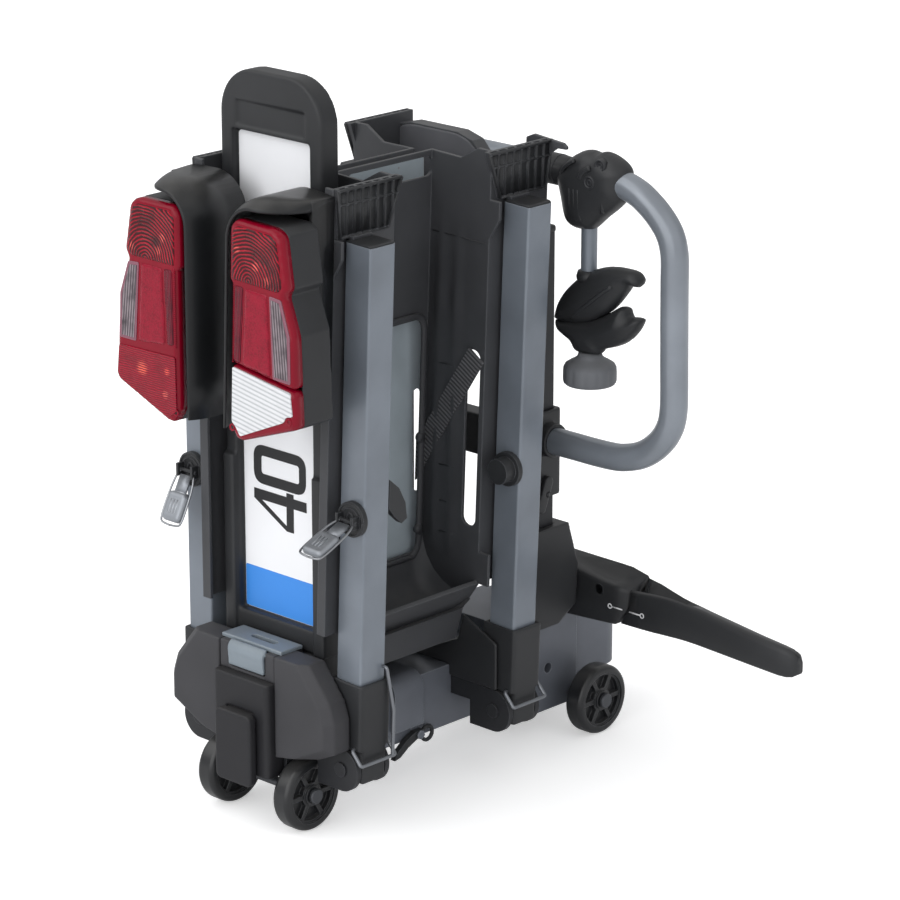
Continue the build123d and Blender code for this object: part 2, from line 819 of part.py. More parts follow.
# Knob under the lower jaw, with its neck and stud
neck_top = jaw_pivot_z - jaw_depth - neck_gap
knob_low = neck_top - neck_length
with BuildPart() as clamp_knob:
    with BuildSketch(Plane.XY.offset(knob_low)):
        with Locations((knob_x, mast_y)):
            Circle(knob_radius)
            with PolarLocations(knob_radius + 4, knob_lobes):
                Circle(knob_lobe_radius, mode=Mode.SUBTRACT)
    extrude(amount=knob_depth)
    with Locations((knob_x, mast_y, (knob_low + neck_top) / 2)):
        Cylinder(neck_radius, neck_top - knob_low)
    with Locations((knob_x, mast_y, (knob_low + stud_top) / 2)):
        Cylinder(stud_radius, stud_top - knob_low)
write(clamp_knob.part, "clamp_knob")

# Number plate holder: deep frame with a pocket for the plate and ribbed cells behind
with BuildPart() as plate_holder:
    with BuildSketch(Plane.XZ.offset(-holder_rear)):
        rect(-holder_half, holder_half, holder_low, holder_top)
        fillet(vertices().group_by(Axis.Y)[-1], holder_corner)
    extrude(amount=holder_rear - holder_front)
    fillet(plate_holder.faces().sort_by(Axis.Y)[0].edges(), holder_edge)
    for x0, x1 in ((side_wall_inner, holder_half), (-holder_half, -side_wall_inner)):
        block(x0, x1, holder_rear - side_wall_rise, holder_rear + holder_edge, holder_low, side_wall_top)
    block(-pocket_half, pocket_half, holder_rear, holder_rear + plate_sink + plate_thick,
          pocket_low, pocket_top, Mode.SUBTRACT)
    block(-band_half, band_half, holder_rear, holder_rear + band_depth, band_low, band_top, Mode.SUBTRACT)
    cell_depth = holder_front - holder_rear - plate_sink - plate_thick - skin
    with BuildSketch(Plane.XZ.offset(-holder_front)):
        with Locations((0, (pocket_low + pocket_top) / 2)):
            with GridLocations(cell_width + skin, cell_height + skin, 2, cell_rows):
                Rectangle(cell_width, cell_height)
    extrude(amount=cell_depth, mode=Mode.SUBTRACT)
write(plate_holder.part, "plate_holder")

with BuildPart() as number_plate:
    plate_back = holder_rear + plate_sink + plate_thick
    block(-plate_half, plate_half, plate_back - plate_thick, plate_back, plate_low, plate_top)
    fillet(number_plate.edges().filter_by(Axis.Y), plate_corner)
write(number_plate.part, "number_plate")

# Seat of the plate holder on the rear cross-arm
with BuildPart() as holder_seat:
    block(-seat_half, seat_half, seat_rear, seat_front, arm_top, holder_low - seat_play)
    block(-seat_lug_half, seat_lug_half, holder_front + slide_play, seat_front + 2, arm_top, seat_lug_top)
write(holder_seat.part, "holder_seat")

# Pair of moulded covers behind the rear cross-arm
cover_outline = [(cover_inner, cover_low), (cover_inner, cover_top), (86, cover_top), (116, 160), (123, 140),
                 (123, 106), (100, 95)]
with BuildPart() as rear_covers:
    add(slab_xz(cover_outline, cover_face, rear_arm_face))
    bevelled = rear_covers.faces().sort_by(Axis.Y)[0].edges().filter_by(lambda e: e.center().X > 90)
    chamfer(bevelled.filter_by(lambda e: e.center().Z > 100), cover_bevel)
    offset(amount=-cover_wall, openings=rear_covers.faces().sort_by(Axis.Y)[-1])
    mirror(about=Plane.YZ)
write(rear_covers.part, "rear_covers")

# Column cover between them, with the lugs of the pedal behind its window
pedal_pivot_z = pedal_top - pedal_barrel
lug_inner = pedal_barrel_half + slide_play
with BuildPart() as column_cover:
    block(-column_half, column_half, column_face, -axle_y - fork_half_y, column_low, column_top)
    fillet(column_cover.edges().filter_by(Axis.Z).group_by(Axis.Y)[0], 6)
    offset(amount=-cover_wall, openings=column_cover.faces().sort_by(Axis.Y)[-1])
    block(-lug_inner, lug_inner, column_face, column_face + cover_wall,
          pedal_pivot_z - lug_half, pedal_pivot_z + lug_half, Mode.SUBTRACT)
    lug_outer = lug_inner + lug_thick
    for side in (-1, 1):
        x0, x1 = sorted((side * lug_inner, side * lug_outer))
        block(x0, x1, column_face + cover_wall, pedal_pivot_y + lug_half,
              pedal_pivot_z - lug_half, pedal_pivot_z + lug_half)
    bar_x(-lug_outer, lug_outer, pedal_pivot_y, pedal_pivot_z, pedal_pin_radius + pin_play, Mode.SUBTRACT)
write(column_cover.part, "column_cover")

# Tilt pedal: rounded slab hinged at its top
with BuildPart() as tilt_pedal:
    block(-pedal_half, pedal_half, pedal_face, pedal_face + pedal_thick, pedal_low, pedal_top)
    fillet(tilt_pedal.edges().filter_by(Axis.Y), 7)
    fillet(tilt_pedal.faces().sort_by(Axis.Y)[0].edges(), 2)
    block(-pedal_barrel_half, pedal_barrel_half, pedal_face + pedal_thick, pedal_pivot_y,
          pedal_pivot_z - pedal_barrel, pedal_pivot_z + 2.5)
    bar_x(-pedal_barrel_half, pedal_barrel_half, pedal_pivot_y, pedal_pivot_z, pedal_barrel)
    bar_x(-lug_outer, lug_outer, pedal_pivot_y, pedal_pivot_z, pedal_pin_radius)
write(tilt_pedal.part, "tilt_pedal")

# Latch surround above the column, with a recess for the paddle
recess_half = paddle_half + paddle_gap
recess_floor = paddle_pivot_y + 7
with BuildPart() as latch_surround:
    block(-column_half, column_half, latch_face, seat_rear, column_top, cover_top)
    block(-column_half + skin, column_half - skin, recess_floor + skin, seat_rear - skin,
          column_top, cover_top - skin, Mode.SUBTRACT)
    block(-recess_half, recess_half, latch_face, recess_floor, column_top + 4, cover_top, Mode.SUBTRACT)
    bar_x(-recess_half - 2, recess_half + 2, paddle_pivot_y, paddle_pivot_z,
          paddle_pin_radius + pin_play, Mode.SUBTRACT)
write(latch_surround.part, "latch_surround")

# Latch paddle: curved plate on two stub pins
with BuildPart() as latch_paddle:
    with BuildSketch(Plane.YZ.offset(-paddle_half)):
        with BuildLine():
            outer_arc = ThreePointArc((-234.5, 199.8), (-239.6, 196.4), (-241.5, 186))
            outer_side = Line(outer_arc @ 1, (-240.6, 172))
            low_end = Line(outer_side @ 1, (-236.6, 172))
            inner_side = Line(low_end @ 1, (-237.4, 186))
            inner_arc = ThreePointArc(inner_side @ 1, (-236.4, 192.5), (-234.2, 195.4))
            Line(inner_arc @ 1, outer_arc @ 0)
        make_face()
    extrude(amount=2 * paddle_half)
    bar_x(-paddle_half - 2, paddle_half + 2, paddle_pivot_y, paddle_pivot_z, paddle_pin_radius)
write(latch_paddle.part, "latch_paddle")

# Grey plate on top of the latch, with an oval slot
top_plate_front = holder_rear - side_wall_rise - 1
with BuildPart() as top_plate:
    block(-top_plate_half, top_plate_half, top_plate_rear, top_plate_front, cover_top, top_plate_top)
    chamfer(top_plate.faces().sort_by(Axis.Z)[-1].edges(), 0.8)
    with BuildSketch(Plane.XY.offset(cover_top)):
        with Locations((4, (top_plate_rear + top_plate_front) / 2)):
            SlotOverall(38, 8)
    extrude(amount=top_plate_top - cover_top, mode=Mode.SUBTRACT)
write(top_plate.part, "top_plate")

# Thin cover behind the front cross-arm
arm_cover_right = [(arm_cover_half, arm_cover_low), (arm_cover_half, 158), (arm_cover_half - 4, 161),
                   (66, 182), (58, 152), (0, beam_top + 6)]
arm_cover_outline = arm_cover_right + [(-x, z) for x, z in reversed(arm_cover_right[:-1])]
with BuildPart() as front_arm_cover:
    add(slab_xz(arm_cover_outline, front_arm_face - arm_cover_thick, front_arm_face))
    block(-beam_half, beam_half, front_arm_face - arm_cover_thick, front_arm_face, 0, beam_top, Mode.SUBTRACT)
write(front_arm_cover.part, "front_arm_cover")

# Wing tubes, their caps and shoes
with BuildPart() as wing_tubes:
    with BuildSketch(Plane.XY.offset(tube_foot)):
        for y in tube_places:
            with Locations((tube_x, y)):
                RectangleRounded(tube_side, tube_side, tube_corner)
                bore_side = tube_side - 2 * tube_wall
                Rectangle(bore_side, bore_side, mode=Mode.SUBTRACT)
    extrude(amount=tube_top - tube_foot)
write_right(wing_tubes.part, "wing_tubes")
write_left(wing_tubes.part, "wing_tubes")

with BuildPart() as tube_caps:
    plug_half = tube_side / 2 - tube_wall - socket_play
    for y in tube_places:
        with BuildSketch(Plane.XY.offset(tube_top)):
            with Locations((tube_x, y)):
                RectangleRounded(tube_side, tube_side, tube_corner)
        extrude(amount=cap_depth)
        block(tube_x - plug_half, tube_x + plug_half, y - plug_half, y + plug_half,
              tube_top - plug_depth, tube_top)
write_right(tube_caps.part, "tube_caps")
write_left(tube_caps.part, "tube_caps")

with BuildPart() as wing_shoes:
    tube_socket = tube_side / 2 + socket_play
    for y in tube_places:
        block(shoe_inner, shoe_outer, y - shoe_half, y + shoe_half, shoe_step, shoe_top)
        block(shoe_inner, shoe_outer, y - shoe_tongue_half, y + shoe_tongue_half, shoe_foot, shoe_step)
    fillet(wing_shoes.edges().filter_by(Axis.Z).group_by(Axis.X)[-1], 3)
    for y in tube_places:
        block(tube_x - tube_socket, tube_x + tube_socket, y - tube_socket, y + tube_socket,
              tube_foot, shoe_top, Mode.SUBTRACT)
        bar_y(y - shoe_half, y + shoe_half, hinge_x, hinge_z, pin_bore, Mode.SUBTRACT)
write_right(wing_shoes.part, "wing_shoes")
write_left(wing_shoes.part, "wing_shoes")


def wire_at(y):
    """Bent wire across the outer face of a shoe, its ends against the shoe's sides."""
    far = shoe_half + wire_offset
    return rod(
        [(wire_end_x, y - shoe_half, wire_end_z), (wire_end_x, y - far, wire_end_z),
         (wire_bar_x, y - far, wire_bar_z), (wire_bar_x, y + far, wire_bar_z),
         (wire_end_x, y + far, wire_end_z), (wire_end_x, y + shoe_half, wire_end_z)],
        wire_radius, wire_bend)


# Retaining wires round the shoes, with an upright rod at the right rear tube
with BuildPart() as wires:
    for y in tube_places:
        add(wire_at(y))
write_left(wires.part, "retaining_wires")

with BuildPart() as wires_right:
    add(wires.part)
    rod_y = rear_y + shoe_half - 1
    add(rod([(wire_bar_x, rod_y, wire_bar_z), (wire_bar_x, rod_y, 144), (wire_bar_x - 5, rod_y - 7, 193),
             (tube_outer_x, rod_y - 7, 193)], wire_radius, wire_bend))
write_right(wires_right.part, "retaining_wires")

# Moulded tray: deck, two walls, trough under them, webs along the tubes and combs on top
wall_outline = [(deck_x, tray_low), (57, 152), (66, 190), (web_x, web_low), (web_outer, web_low),
                (web_outer, tray_top), (70, tray_top), (45, deck_top), (deck_x, deck_top)]
trough_outline = [(deck_x, tray_low), (57, 152), (66, 190), (web_outer, web_low), (web_x, web_low + 3),
                  (62.5, 191.5), (54, 155), (deck_x, tray_low + 4.3)]
comb_ends = {rear_y: (-214, -124, -210, -142), front_y: (7, 103, 25, 95)}
with BuildPart() as tray:
    block(deck_x, deck_x + skin, pan_rear, pan_front, tray_low, deck_top)
    for low, top, corner in ((window_low, window_top, window_round), (rim_low, rim_top, rim_round)):
        with BuildSketch(Plane.YZ.offset(deck_x)):
            rect(window_rear, pan_front - skin, low, top)
            fillet(vertices(), corner)
        extrude(amount=skin, mode=Mode.SUBTRACT)
    add(slab_xz(trough_outline, pan_rear, pan_front))
    for y in (pan_rear, pan_front - skin):
        add(slab_xz(wall_outline, y, y + skin))
    with BuildSketch(Plane.XZ.offset(-pan_rear)):
        with Locations((wall_slot_x, (wall_slot_low + wall_slot_top) / 2)):
            SlotOverall(wall_slot_top - wall_slot_low, wall_slot_width, rotation=90)
    extrude(amount=pan_rear - pan_front, mode=Mode.SUBTRACT)
    block(web_x, web_outer, lip_rear, pan_rear + skin, web_low, tray_top)
    block(web_x, web_outer, pan_front - skin, lip_front, web_low, tray_top)
    block(lip_x, web_outer, lip_rear, lip_rear + skin, web_low, tray_top)
    block(web_outer, tab_x, pan_front - skin, pan_front, web_low, tab_top)
    gusset = [(web_x, gusset_low), (gusset_x, gusset_mid), (gusset_x, comb_low), (web_x, comb_low)]
    for y in (lip_rear, pan_front - skin):
        add(slab_xz(gusset, y, y + skin))
    for y, (top_rear, top_front, low_rear, low_front) in comb_ends.items():
        comb_outline = [(low_rear, comb_low), (low_front, comb_low),
                        (top_front, tray_top), (top_rear, tray_top)]
        add(slab_yz(comb_outline, web_x, web_outer))
        for rib in range(comb_ribs):
            share = rib / (comb_ribs - 1)
            low = low_rear + share * (low_front - low_rear - comb_rib_width)
            top = top_rear + share * (top_front - top_rear - comb_rib_width)
            add(slab_yz([(low, comb_low), (low + comb_rib_width, comb_low), (top + comb_rib_width, tray_top),
                         (top, tray_top)], web_outer, web_outer + comb_depth))
        block(web_outer, tube_inner_x + 7, y - 14, y + 14, tube_top + cap_depth, comb_low + 2)
        for pad_z in pad_heights:
            block(web_outer, tube_inner_x, y - pad_half, y + pad_half, pad_z - pad_half, pad_z + pad_half)

# Right tray: a thin flange with a tongue over the front comb
flange_outline = [(60, 690), (60, 703), (70, 708), (112, 706), (117, 703), (117, 700), (104, 699), (92, 690)]
with BuildPart() as tray_right:
    add(tray.part)
    add(slab_xz(flange_outline, lip_front - skin, lip_front))
write_right(tray_right.part, "tray")

# Left tray: a hollow dome along its top and a notch for the strap
dome_top = dome_low + dome_rise
dome_outline = [(web_outer, dome_low), (web_outer, dome_top - 5), (70, dome_top), (0, dome_top),
                (-dome_reach + 18, dome_top - 6), (-dome_reach + 4, dome_top - 21),
                (-dome_reach, dome_top - 44), (-dome_reach, dome_low)]
with BuildPart() as tray_left:
    add(tray.part)
    add(slab_xz(dome_outline, dome_rear, dome_front))
    with BuildSketch(Plane.XZ.offset(-dome_rear)):
        with BuildLine():
            Polyline(*dome_outline, close=True)
        make_face()
        offset(amount=-skin)
        rect(skin - dome_reach, web_outer, dome_low, dome_low + skin)
    extrude(amount=dome_rear - dome_front + skin, mode=Mode.SUBTRACT)
    block(web_x, web_outer, dome_rear - skin, lip_front, web_low, tray_top)
    block(deck_x, deck_x + 2 * skin, sheet_slot_rear, pan_front,
          sheet_slot_low, sheet_slot_top, Mode.SUBTRACT)
write_left(tray_left.part, "tray")

# Grey sheet on the left deck
with BuildPart() as tray_sheet:
    block(deck_x - sheet_thick, deck_x, sheet_rear, sheet_front, sheet_low, sheet_top)
    fillet(tray_sheet.edges().filter_by(Axis.X), 6)
    with BuildSketch(Plane.YZ.offset(deck_x - sheet_thick)):
        with Locations(((sheet_slot_rear + sheet_slot_front) / 2, (sheet_slot_low + sheet_slot_top) / 2)):
            SlotOverall(sheet_slot_top - sheet_slot_low, sheet_slot_front - sheet_slot_rear, rotation=90)
    extrude(amount=sheet_thick, mode=Mode.SUBTRACT)
write_left(tray_sheet.part, "tray_sheet")

# Strap from the wall slot to the slot of the sheet
strap_run = Vector(strap_top_x - strap_low_x, strap_top_z - strap_low_z)
strap_side = strap_run.normalized().rotate(Axis.Z, 90) * (strap_width / 2)
strap_drop = strap_width / 2 * strap_run.length / strap_run.X
strap_outline = [
    (strap_low_x, strap_low_z - strap_drop),
    (strap_top_x - strap_side.X, strap_top_z - strap_side.Y),
    (strap_top_x + strap_side.X, strap_top_z + strap_side.Y),
    (strap_low_x, strap_low_z + strap_drop),
]
strap_front = pan_front - skin
write_right(slab_xz(strap_outline, strap_front - strap_thick, strap_front), "strap")

# Lamps: housing and lens share one outline, the right lens is split for the reversing lamp
lamp_outline = [(31, 462), (31, 612), (26.6, 616), (26.6, 672), (34, 680), (88, 680), (99, 674), (109, 622),
                (103, 614), (119, 575), (126, 483), (122, 479), (46, lamp_foot), (40, lamp_foot + 1)]
with BuildPart() as lamp_housing:
    add(slab_xz(lamp_outline, lens_back, lamp_back))
    with BuildSketch(Plane.XZ.offset(-lens_back)):
        with BuildLine():
            Polyline(*lamp_outline, close=True)
        make_face()
        offset(amount=-lamp_wall)
    extrude(amount=lens_back - lamp_back + 2 * lamp_wall, mode=Mode.SUBTRACT)
write_right(lamp_housing.part, "lamp_housing")
write_left(lamp_housing.part, "lamp_housing")

with BuildPart() as lamp_lens:
    add(slab_xz(lamp_outline, lens_face, lens_back))
    chamfer(lamp_lens.faces().sort_by(Axis.Y)[0].edges(), lens_round)
write_left(lamp_lens.part, "lamp_lens")

lens_split = lamp_foot + reversing_height


def lens_zone(gap, reach):
    """Everything on one side of the slanting split between the two right lenses."""
    ends = [(x, lens_split + lens_split_slope * (x - tube_x) + gap) for x in (0, 2 * tube_x)]
    return slab_xz([*ends, (2 * tube_x, lens_split + reach), (0, lens_split + reach)], lens_face, lens_back)


with BuildPart() as red_lens:
    add(lamp_lens.part)
    add(lens_zone(lens_gap, tube_side * 5), mode=Mode.INTERSECT)
write_right(red_lens.part, "lamp_lens")

with BuildPart() as reversing_lens:
    add(lamp_lens.part)
    add(lens_zone(0, -tube_side * 5), mode=Mode.INTERSECT)
write_right(reversing_lens.part, "reversing_lens")

# Hood over each lamp, with the arm that joins it and the lamp to the tray
with BuildPart() as lamp_hood:
    with BuildSketch(Plane.XZ.offset(-hood_face)):
        with BuildLine():
            FilletPolyline(
                (hood_inner, hood_low),
                (hood_inner, hood_top),
                (hood_outer, hood_top),
                radius=hood_bend,
            )
            offset(amount=skin, side=Side.RIGHT)
        make_face()
    extrude(amount=hood_face - lip_rear)
    block(hood_outer - hood_arm, hood_outer, lamp_back, lip_rear, hood_arm_low, hood_top)
write_right(lamp_hood.part, "lamp_hood")
write_left(lamp_hood.part, "lamp_hood")


def ratchet_grip(y, angle):
    """Hinged grip of a ratchet, pointing away from the tube face and down by an angle."""
    pivot_y = y - ratchet_pivot
    across = Plane(
        origin=(ratchet_x, pivot_y, ratchet_z),
        x_dir=(1, 0, 0),
        z_dir=(0, sin(radians(angle)), -cos(radians(angle))),
    )
    with BuildPart() as grip:
        with BuildSketch(across):
            rect(-grip_half, grip_half, grip_start, grip_reach)
            fillet(vertices().group_by(Axis.Y)[-1], grip_round)
            rect(-ratchet_half, ratchet_half, 0, grip_start + 1)
        extrude(amount=grip_thick / 2, both=True)
        bar_x(ratchet_x - ratchet_half, ratchet_x + ratchet_half, pivot_y, ratchet_z, ratchet_hub)
        bar_x(ratchet_x - ratchet_half, ratchet_x + ratchet_half, pivot_y, ratchet_z,
              ratchet_pin_radius + pin_play, Mode.SUBTRACT)
    return grip.part


# Ratchets on the tube faces: a hinged one at the rear, a plain spool at the front
rear_tube_face = rear_y - tube_side / 2
front_tube_face = front_y - tube_side / 2
with BuildPart() as ratchets:
    for y in (rear_tube_face, front_tube_face):
        bar_y(y - ratchet_base, y, ratchet_x, ratchet_z, ratchet_radius)
    for side in (-1, 1):
        x0, x1 = sorted((ratchet_x + side * (ratchet_half + slide_play),
                         ratchet_x + side * (ratchet_half + slide_play + ear_thick)))
        block(x0, x1, rear_tube_face - ratchet_pivot - 5, rear_tube_face - ratchet_base,
              ratchet_z - ear_half, ratchet_z + ear_half)
    pin_half = ratchet_half + slide_play + ear_thick + 1
    bar_x(ratchet_x - pin_half, ratchet_x + pin_half, rear_tube_face - ratchet_pivot, ratchet_z,
          ratchet_pin_radius)
    bar_y(front_tube_face - ratchet_base - spool_depth, front_tube_face - ratchet_base,
          ratchet_x, ratchet_z, spool_radius)
write_left(ratchets.part, "ratchets")

# The right rear ratchet also has a curved strap tail on the tube's front face
tail_outline = around(rear_y + tube_side / 2, ratchet_z, [
    (0, 37), (14, 25), (24, 7), (27, -11), (19, -15), (8, -5), (0, 5),
])
with BuildPart() as ratchets_right:
    add(ratchets.part)
    add(slab_yz(tail_outline, tube_outer_x - tail_width, tube_outer_x))
write_right(ratchets_right.part, "ratchets")

write_right(ratchet_grip(rear_tube_face, grip_angle_right), "ratchet_grip")
write_left(ratchet_grip(rear_tube_face, grip_angle_left), "ratchet_grip")
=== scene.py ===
import json
import math

import bmesh
import bpy
from mathutils import Matrix, Vector

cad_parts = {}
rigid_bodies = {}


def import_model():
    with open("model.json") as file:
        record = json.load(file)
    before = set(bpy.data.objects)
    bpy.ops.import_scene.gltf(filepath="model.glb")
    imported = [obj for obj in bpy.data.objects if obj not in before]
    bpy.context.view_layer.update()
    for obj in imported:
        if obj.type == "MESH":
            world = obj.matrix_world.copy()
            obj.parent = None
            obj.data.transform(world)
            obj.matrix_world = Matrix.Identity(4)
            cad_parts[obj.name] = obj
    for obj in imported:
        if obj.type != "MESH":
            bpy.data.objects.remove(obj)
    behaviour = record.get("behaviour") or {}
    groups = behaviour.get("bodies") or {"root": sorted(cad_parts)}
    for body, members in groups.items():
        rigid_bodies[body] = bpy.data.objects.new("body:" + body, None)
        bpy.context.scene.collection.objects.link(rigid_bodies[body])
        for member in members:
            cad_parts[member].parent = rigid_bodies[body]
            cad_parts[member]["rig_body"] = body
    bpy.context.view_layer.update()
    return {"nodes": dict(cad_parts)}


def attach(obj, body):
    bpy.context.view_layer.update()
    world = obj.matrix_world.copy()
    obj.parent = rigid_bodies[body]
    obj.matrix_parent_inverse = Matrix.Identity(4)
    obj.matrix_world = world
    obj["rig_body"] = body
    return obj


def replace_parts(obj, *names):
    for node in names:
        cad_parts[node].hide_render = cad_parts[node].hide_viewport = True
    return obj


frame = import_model()


# Camera, floor and light.
# The carrier stands on a pale seamless floor, seen from its lamp side and a little from above. The light
# is soft: a lamp from the upper left, a stronger one from the front, a weak one from the side, and a sky.

def feed(tree, node, inputs):
    """Sets a node's inputs, each to a value, to a socket, or to the first output of another node."""
    for socket, value in inputs.items():
        if isinstance(value, bpy.types.Node):
            value = value.outputs[0]
        if isinstance(value, bpy.types.NodeSocket):
            tree.links.new(value, node.inputs[socket])
        else:
            node.inputs[socket].default_value = value
    return node


def add_node(tree, kind, inputs, **settings):
    """A new shader node with its settings and inputs."""
    node = tree.nodes.new("ShaderNode" + kind)
    for setting, value in settings.items():
        setattr(node, setting, value)
    return feed(tree, node, inputs)


def maths(tree, operation, *terms, kind="Math"):
    """A node that calculates with its terms in order."""
    return add_node(tree, kind, dict(enumerate(terms)), operation=operation)


view_turn = math.radians(43.736)
view_rise = math.radians(17.581)
view_distance = 3.852
view_centre = Vector((0.2615, -0.202, 0.4638))
view_back = Vector((math.sin(view_turn) * math.cos(view_rise),
                    -math.cos(view_turn) * math.cos(view_rise), math.sin(view_rise)))
camera_data = bpy.data.cameras.new("photo_camera")
camera_data.lens = 154.9
camera_data.sensor_width = 36.0
camera_data.clip_end = 60.0
camera = bpy.data.objects.new("photo_camera", camera_data)
camera.location = view_centre + view_back * view_distance
camera.rotation_euler = view_back.to_track_quat("Z", "Y").to_euler()
bpy.context.scene.collection.objects.link(camera)
bpy.context.scene.camera = camera

floor_half_width = 22.0
floor_mesh = bpy.data.meshes.new("studio_floor")
floor_shape = bmesh.new()
bmesh.ops.create_grid(floor_shape, x_segments=8, y_segments=8, size=floor_half_width)
floor_shape.to_mesh(floor_mesh)
floor_shape.free()
floor = bpy.data.objects.new("studio_floor", floor_mesh)
bpy.context.scene.collection.objects.link(floor)

# The floor is lifted to white only where the camera sees it, and keeps the carrier's shadow.
floor_lift = 0.42
floor_paint = bpy.data.materials.new("studio_floor")
floor_paint.use_nodes = True
tree = floor_paint.node_tree
seen_directly = add_node(tree, "LightPath", {})
lift = maths(tree, "MULTIPLY", seen_directly.outputs["Is Camera Ray"], floor_lift)
feed(tree, tree.nodes["Principled BSDF"], {
    "Base Color": (0.93, 0.93, 0.935, 1.0), "Roughness": 0.8, "Specular IOR Level": 0.1,
    "Emission Color": (1.0, 1.0, 1.0, 1.0), "Emission Strength": lift})
floor_mesh.materials.append(floor_paint)

world = bpy.data.worlds.new("studio")
world.use_nodes = True
bpy.context.scene.world = world
tree = world.node_tree
direction = add_node(tree, "TexCoord", {})
height = add_node(tree, "SeparateXYZ", {0: direction.outputs["Generated"]})
dome = add_node(tree, "ValToRGB", {"Fac": height.outputs["Z"]})
for element, position, level in ((0, 0.0, (0.62, 0.63, 0.65, 1.0)), (1, 0.85, (0.95, 0.95, 0.95, 1.0))):
    dome.color_ramp.elements[element].position = position
    dome.color_ramp.elements[element].color = level
feed(tree, tree.nodes["Background"], {"Color": dome, "Strength": 0.72})

for lamp_name, towards, strength, spread in (
    ("key_light", (0.55, 0.75, -0.95), 0.78, 55),
    ("front_light", (-0.15, 0.95, -0.2), 1.62, 70),
    ("side_light", (-0.9, 0.15, -0.45), 0.4, 70),
):
    lamp_data = bpy.data.lights.new(lamp_name, "SUN")
    lamp_data.energy = strength
    lamp_data.angle = math.radians(spread)
    lamp = bpy.data.objects.new(lamp_name, lamp_data)
    lamp.rotation_euler = (-Vector(towards)).to_track_quat("Z", "Y").to_euler()
    bpy.context.scene.collection.objects.link(lamp)
bpy.context.scene.view_settings.view_transform = "Standard"


# Folding tubes.
# Four square tubes, two in each wing, drawn steel with rounded corners under a grey metallic lacquer.
# Each stands in a shoe on the cross arm's hinge pin and carries the tray between the pair.

def srgb(red, green, blue):
    """A colour that was read as 0 to 255 levels on a screen, as a shader takes it."""
    levels = [level / 255 for level in (red, green, blue)]
    return tuple(l / 12.92 if l <= 0.04045 else ((l + 0.055) / 1.055) ** 2.4 for l in levels) + (1.0,)


def node_group(name, inputs, outputs):
    """An empty shader node group with its sockets, and its two end nodes."""
    group = bpy.data.node_groups.new(name, "ShaderNodeTree")
    for socket_name, socket_kind, value in inputs:
        socket = group.interface.new_socket(socket_name, in_out="INPUT",
                                            socket_type="NodeSocket" + socket_kind)
        if value is not None:
            socket.default_value = value
    for socket_name, socket_kind in outputs:
        group.interface.new_socket(socket_name, in_out="OUTPUT", socket_type="NodeSocket" + socket_kind)
    return group, group.nodes.new("NodeGroupInput"), group.nodes.new("NodeGroupOutput")


# Rounded edges: the normal turns over an edge as on a real moulding or folded sheet, and the mask
# shows where, so that the edge can be painted lighter: partly handling wear, partly a painted highlight.
edges, edges_in, edges_out = node_group(
    "rounded_edges",
    [("Radius", "Float", 0.001)],
    [("Normal", "Vector"), ("Edge", "Float")],
)
turned = add_node(edges, "Bevel", {"Radius": edges_in.outputs["Radius"]}, samples=4)
surface = add_node(edges, "NewGeometry", {})
agreement = maths(edges, "DOT_PRODUCT", turned, surface.outputs["Normal"], kind="VectorMath")
edge_wear_and_highlight_mask = add_node(edges, "MapRange", {"Value": agreement.outputs["Value"], "From Min": 0.995, "From Max": 0.80})
feed(edges, edges_out, {"Normal": turned, "Edge": edge_wear_and_highlight_mask})

# Skin grain: fine spark-eroded texture of a moulding, or the orange peel of a lacquer, as a height.
grain, grain_in, grain_out = node_group(
    "skin_grain",
    [("Scale", "Float", 900.0), ("Softness", "Float", 0.5)],
    [("Height", "Float"), ("Mottle", "Float")],
)
place = add_node(grain, "TexCoord", {})
fine = add_node(grain, "TexNoise", {"Vector": place.outputs["Object"], "Scale": grain_in.outputs["Scale"],
                                    "Detail": 3.0, "Roughness": grain_in.outputs["Softness"]})
broad = add_node(grain, "TexNoise", {"Vector": place.outputs["Object"], "Scale": 14.0, "Detail": 4.0})
feed(grain, grain_out, {"Height": fine, "Mottle": broad})

# Settled dust: a thin film on what faces up, broken into soft patches.
dust, dust_in, dust_out = node_group(
    "settled_dust",
    [("Amount", "Float", 0.3)],
    [("Dust", "Float")],
)
facing = add_node(dust, "NewGeometry", {})
upward = add_node(dust, "SeparateXYZ", {0: facing.outputs["Normal"]})
level = add_node(dust, "MapRange", {"Value": upward.outputs["Z"], "From Min": 0.45, "From Max": 1.0})
where = add_node(dust, "TexCoord", {})
patches = add_node(dust, "TexNoise", {"Vector": where.outputs["Object"], "Scale": 38.0, "Detail": 6.0})
film = maths(dust, "MULTIPLY", level, patches)
settled = maths(dust, "MULTIPLY", film, dust_in.outputs["Amount"])
feed(dust, dust_out, {"Dust": settled})


def new_material(name):
    """An empty node material, its tree and its shader."""
    material = bpy.data.materials.new(name)
    material.use_nodes = True
    return material, material.node_tree, material.node_tree.nodes["Principled BSDF"]


